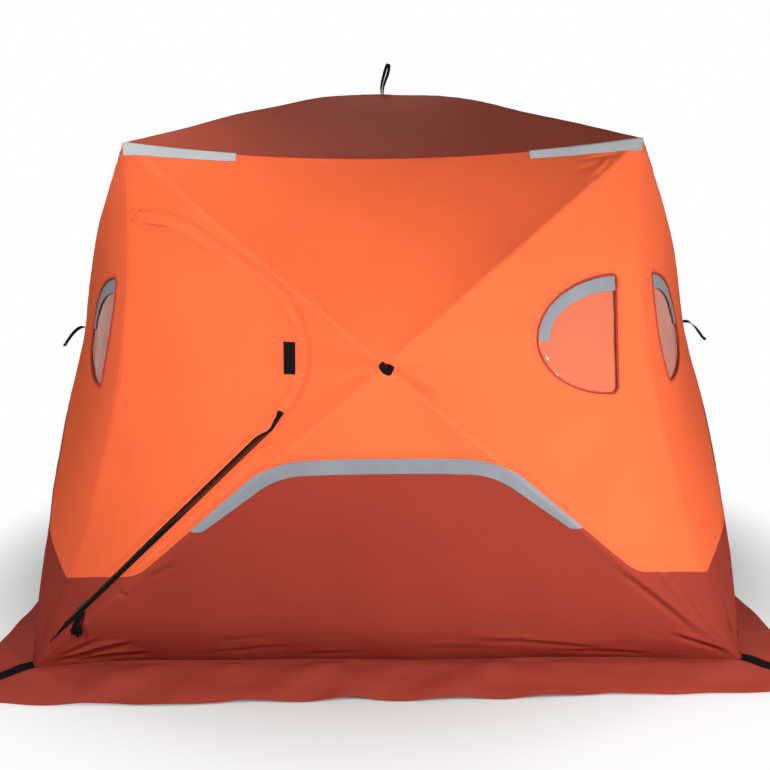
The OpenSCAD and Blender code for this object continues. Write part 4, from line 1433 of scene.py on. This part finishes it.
CORNER_OUT = BASE * math.sqrt(2)


def anchor(k):
    g = math.pi / 4 + k * math.pi / 2
    way = np.array([math.cos(g), math.sin(g)])
    d = np.linspace(CORNER_OUT - 0.02, CORNER_OUT + 0.219, 46)
    p = np.outer(d, way)
    z = np.maximum(skirt_height(p[:, 0], p[:, 1]) + 0.0065, 0.0105)
    z = z + 0.0022 * np.exp(-((d - d[0] - 0.05) / 0.03) ** 2)
    across = np.tile([-way[1], way[0], -0.55 * np.sign(way[0] * way[1])], (len(d), 1))
    strap = webbing("anchor", np.column_stack([p, z]), across, width=0.025, finish=black_web, thick=0.0018)
    ring_at = (*(way * (CORNER_OUT + 0.2025)), z[-4] + 0.0012)
    ring = torus(eyelet_metal, major_radius=0.0075, minor_radius=0.0018, major_segments=28, minor_segments=10,
                 location=ring_at)
    return strap, ring


anchors = [anchor(k) for k in range(4)]
settle(join("anchor_webbing", [strap for strap, _ in anchors]), ["anchor_straps"])
settle(join("anchor_eyelets", [ring for _, ring in anchors]))


# Stitching

def wall_stitches():
    """Double rows above the colour split and a row round the window in orange, a row along the hem in red."""
    orange, red = [], []
    split = SPLIT[np.abs(SPLIT[:, 0]) < 0.97]
    x = np.linspace(-0.95, 0.95, 60)
    hem = np.stack([x, np.full(len(x), 0.016)], 1)
    for wall in TURNS:
        for up in (0.005, 0.012):
            orange.append(wall_row(wall, split + [0, up]))
        loop = window_line(WINDOW_AT[wall], 0.0125)
        orange.append(wall_row(wall, np.vstack([loop, loop[:1]]), step=0.012))
        red.append(wall_row(wall, hem))
    settle(threads("orange_stitches", orange, orange_thread))
    settle(threads("dark_red_stitches", red, red_thread))


def box_stitches():
    """The four sides of the flap's box and its two diagonals."""
    ways = ((0.062, 0.001), (0.028, 0.001), (0.028, 0.040), (0.062, 0.040))
    corner = [HEAD - TOP_RUN * back + TOP_IN * down for back, down in ways]
    lines = [(corner[i], corner[j]) for i, j in ((0, 1), (1, 2), (2, 3), (3, 0), (0, 2), (1, 3))]
    return [wall_row("front", np.stack(line), lift=0.0028, step=0.006) for line in lines]


wall_stitches()
flap_rows = [on_wall("front", beside(flap_line, d), up) for d, up in ((0.0015, 0.0030), (0.0065, 0.0034))]
settle(threads("storm_flap_stitches", flap_rows, orange_thread), (), "hinge")
zip_rows = [on_wall("front", zip_line[6:-6] + ZIP_IN * k, 0.0006) for k in (0.026, 0.033)]
settle(threads("door_edge_stitches", zip_rows, orange_thread), (), "hinge")
wall_rows = [on_wall("front", zip_line[2:-2] - ZIP_IN * k, 0.0006) for k in (0.005, 0.012)]
wall_rows += box_stitches()
settle(threads("wall_edge_stitches", wall_rows, orange_thread, pitch=0.0055))
tab_rows = [wall_row("front", [(x, 0.924), (x, 1.008)], lift=0.0034, step=0.01) for x in (-0.286, -0.259)]
settle(threads("tab_stitches", tab_rows, black_thread), (), "door")

# Poles, hubs and pockets keep their solids, with better finishes

bare = {wall + "_poles": rod for wall in (*TURNS, "roof")}
bare.update({name: hub_plastic for name in ("hubs", "roof_pockets", "foot_pockets")})
for name, finish in bare.items():
    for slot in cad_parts[name].material_slots:
        slot.material = finish


# Plain floor, soft light from low on both sides of the camera

def seen_rays(tree):
    """1 for rays that show the background: straight from the camera, or by way of gloss or glass."""
    path = tree.nodes.new("ShaderNodeLightPath").outputs
    mirrored = math_node(tree, "MAXIMUM", path["Is Glossy Ray"], path["Is Transmission Ray"])
    return math_node(tree, "MAXIMUM", path["Is Camera Ray"], mirrored)


def set_floor():
    """A floor that takes shadows near the hut and fades to white further out."""
    bpy.ops.mesh.primitive_circle_add(vertices=96, radius=40, fill_type="NGON", location=(0, 0, -0.0005))
    floor = bpy.context.object
    floor.name = "floor"
    mat, tree, shader = finish_base("pale_floor", (0.62, 0.62, 0.62), 0.9)
    far = tree.nodes.new("ShaderNodeVectorMath")
    far.operation = "LENGTH"
    tree.links.new(tree.nodes.new("ShaderNodeTexCoord").outputs["Object"], far.inputs[0])
    fade = tree.nodes.new("ShaderNodeMapRange")
    fade.interpolation_type = "SMOOTHSTEP"
    set_inputs(fade, From_Min=1.15, From_Max=1.95)
    tree.links.new(far.outputs["Value"], fade.inputs["Value"])
    seen = math_node(tree, "MULTIPLY", fade.outputs[0], seen_rays(tree))
    white = tree.nodes.new("ShaderNodeEmission")
    set_inputs(white, Color=(1, 1, 1, 1))
    mix_to_surface(tree, "Material Output", seen, shader, white)
    floor.data.materials.append(mat)


def set_world():
    """A white background, and a little even light from it."""
    world = bpy.data.worlds.new("studio")
    bpy.context.scene.world = world
    world.use_nodes = True
    tree = world.node_tree
    soft = tree.nodes["Background"]
    set_inputs(soft, Color=(1, 1, 1, 1), Strength=0.13)
    white = tree.nodes.new("ShaderNodeBackground")
    set_inputs(white, Color=(1, 1, 1, 1), Strength=1.0)
    mix_to_surface(tree, "World Output", seen_rays(tree), soft, white)


def set_lamp(name, at, aim, size, watts):
    bpy.ops.object.light_add(type="AREA", location=at)
    lamp = bpy.context.object
    lamp.name = name
    lamp.data.shape = "DISK"
    lamp.data.size = size
    lamp.data.energy = watts
    lamp.rotation_mode = "QUATERNION"
    lamp.visible_camera = False
    lamp.rotation_quaternion = (Vector(aim) - Vector(at)).to_track_quat("-Z", "Y")


# Lamps: name, place, the place it is aimed at, diameter and watts
LAMPS = [
    ("right_softbox", (1.25, -2.25, 0.90), (0.35, -1.1, 0.75), 0.5, 28),
    ("left_softbox", (-1.05, -2.30, 1.15), (-0.35, -1.15, 0.95), 0.4, 12),
    ("left_key", (-0.95, -2.50, 1.65), (-0.35, -1.15, 0.95), 0.06, 15),
    ("left_high", (-1.20, -1.60, 2.10), (-0.4, -0.9, 1.4), 0.3, 1),
    ("right_high", (1.69, -1.32, 1.76), (0.9, -0.9, 0.8), 0.3, 3),
    ("roof_softbox", (0, 0.60, 2.90), (0, 0.2, 1.8), 0.5, 6),
    ("roof_edge_softbox", (-0.78, -0.95, 2.10), (-0.6, -0.75, 1.7), 0.3, 2.2),
    ("back_fill", (0, 4.5, 1.6), (0, 1.0, 0.9), 1.6, 60),
    ("left_fill", (-3.2, 1.6, 2.6), (-1.0, 0.9, 0.9), 0.9, 28),
    ("right_fill", (3.2, 1.6, 2.6), (1.0, 0.9, 0.9), 0.9, 28),
]

set_floor()
set_world()
for lamp in LAMPS:
    set_lamp(*lamp)
bpy.context.scene.view_settings.view_transform = "Standard"

# Flat sizes of the sheets; the skirt is a ring, so its flat size is its middle length and its width

for piece, held, on in sheets:
    flat, area = flat_cut(piece)
    if piece is skirt:
        wide = SKIRT_OUT - SKIRT_IN + 0.003
        flat = (area / wide, wide)
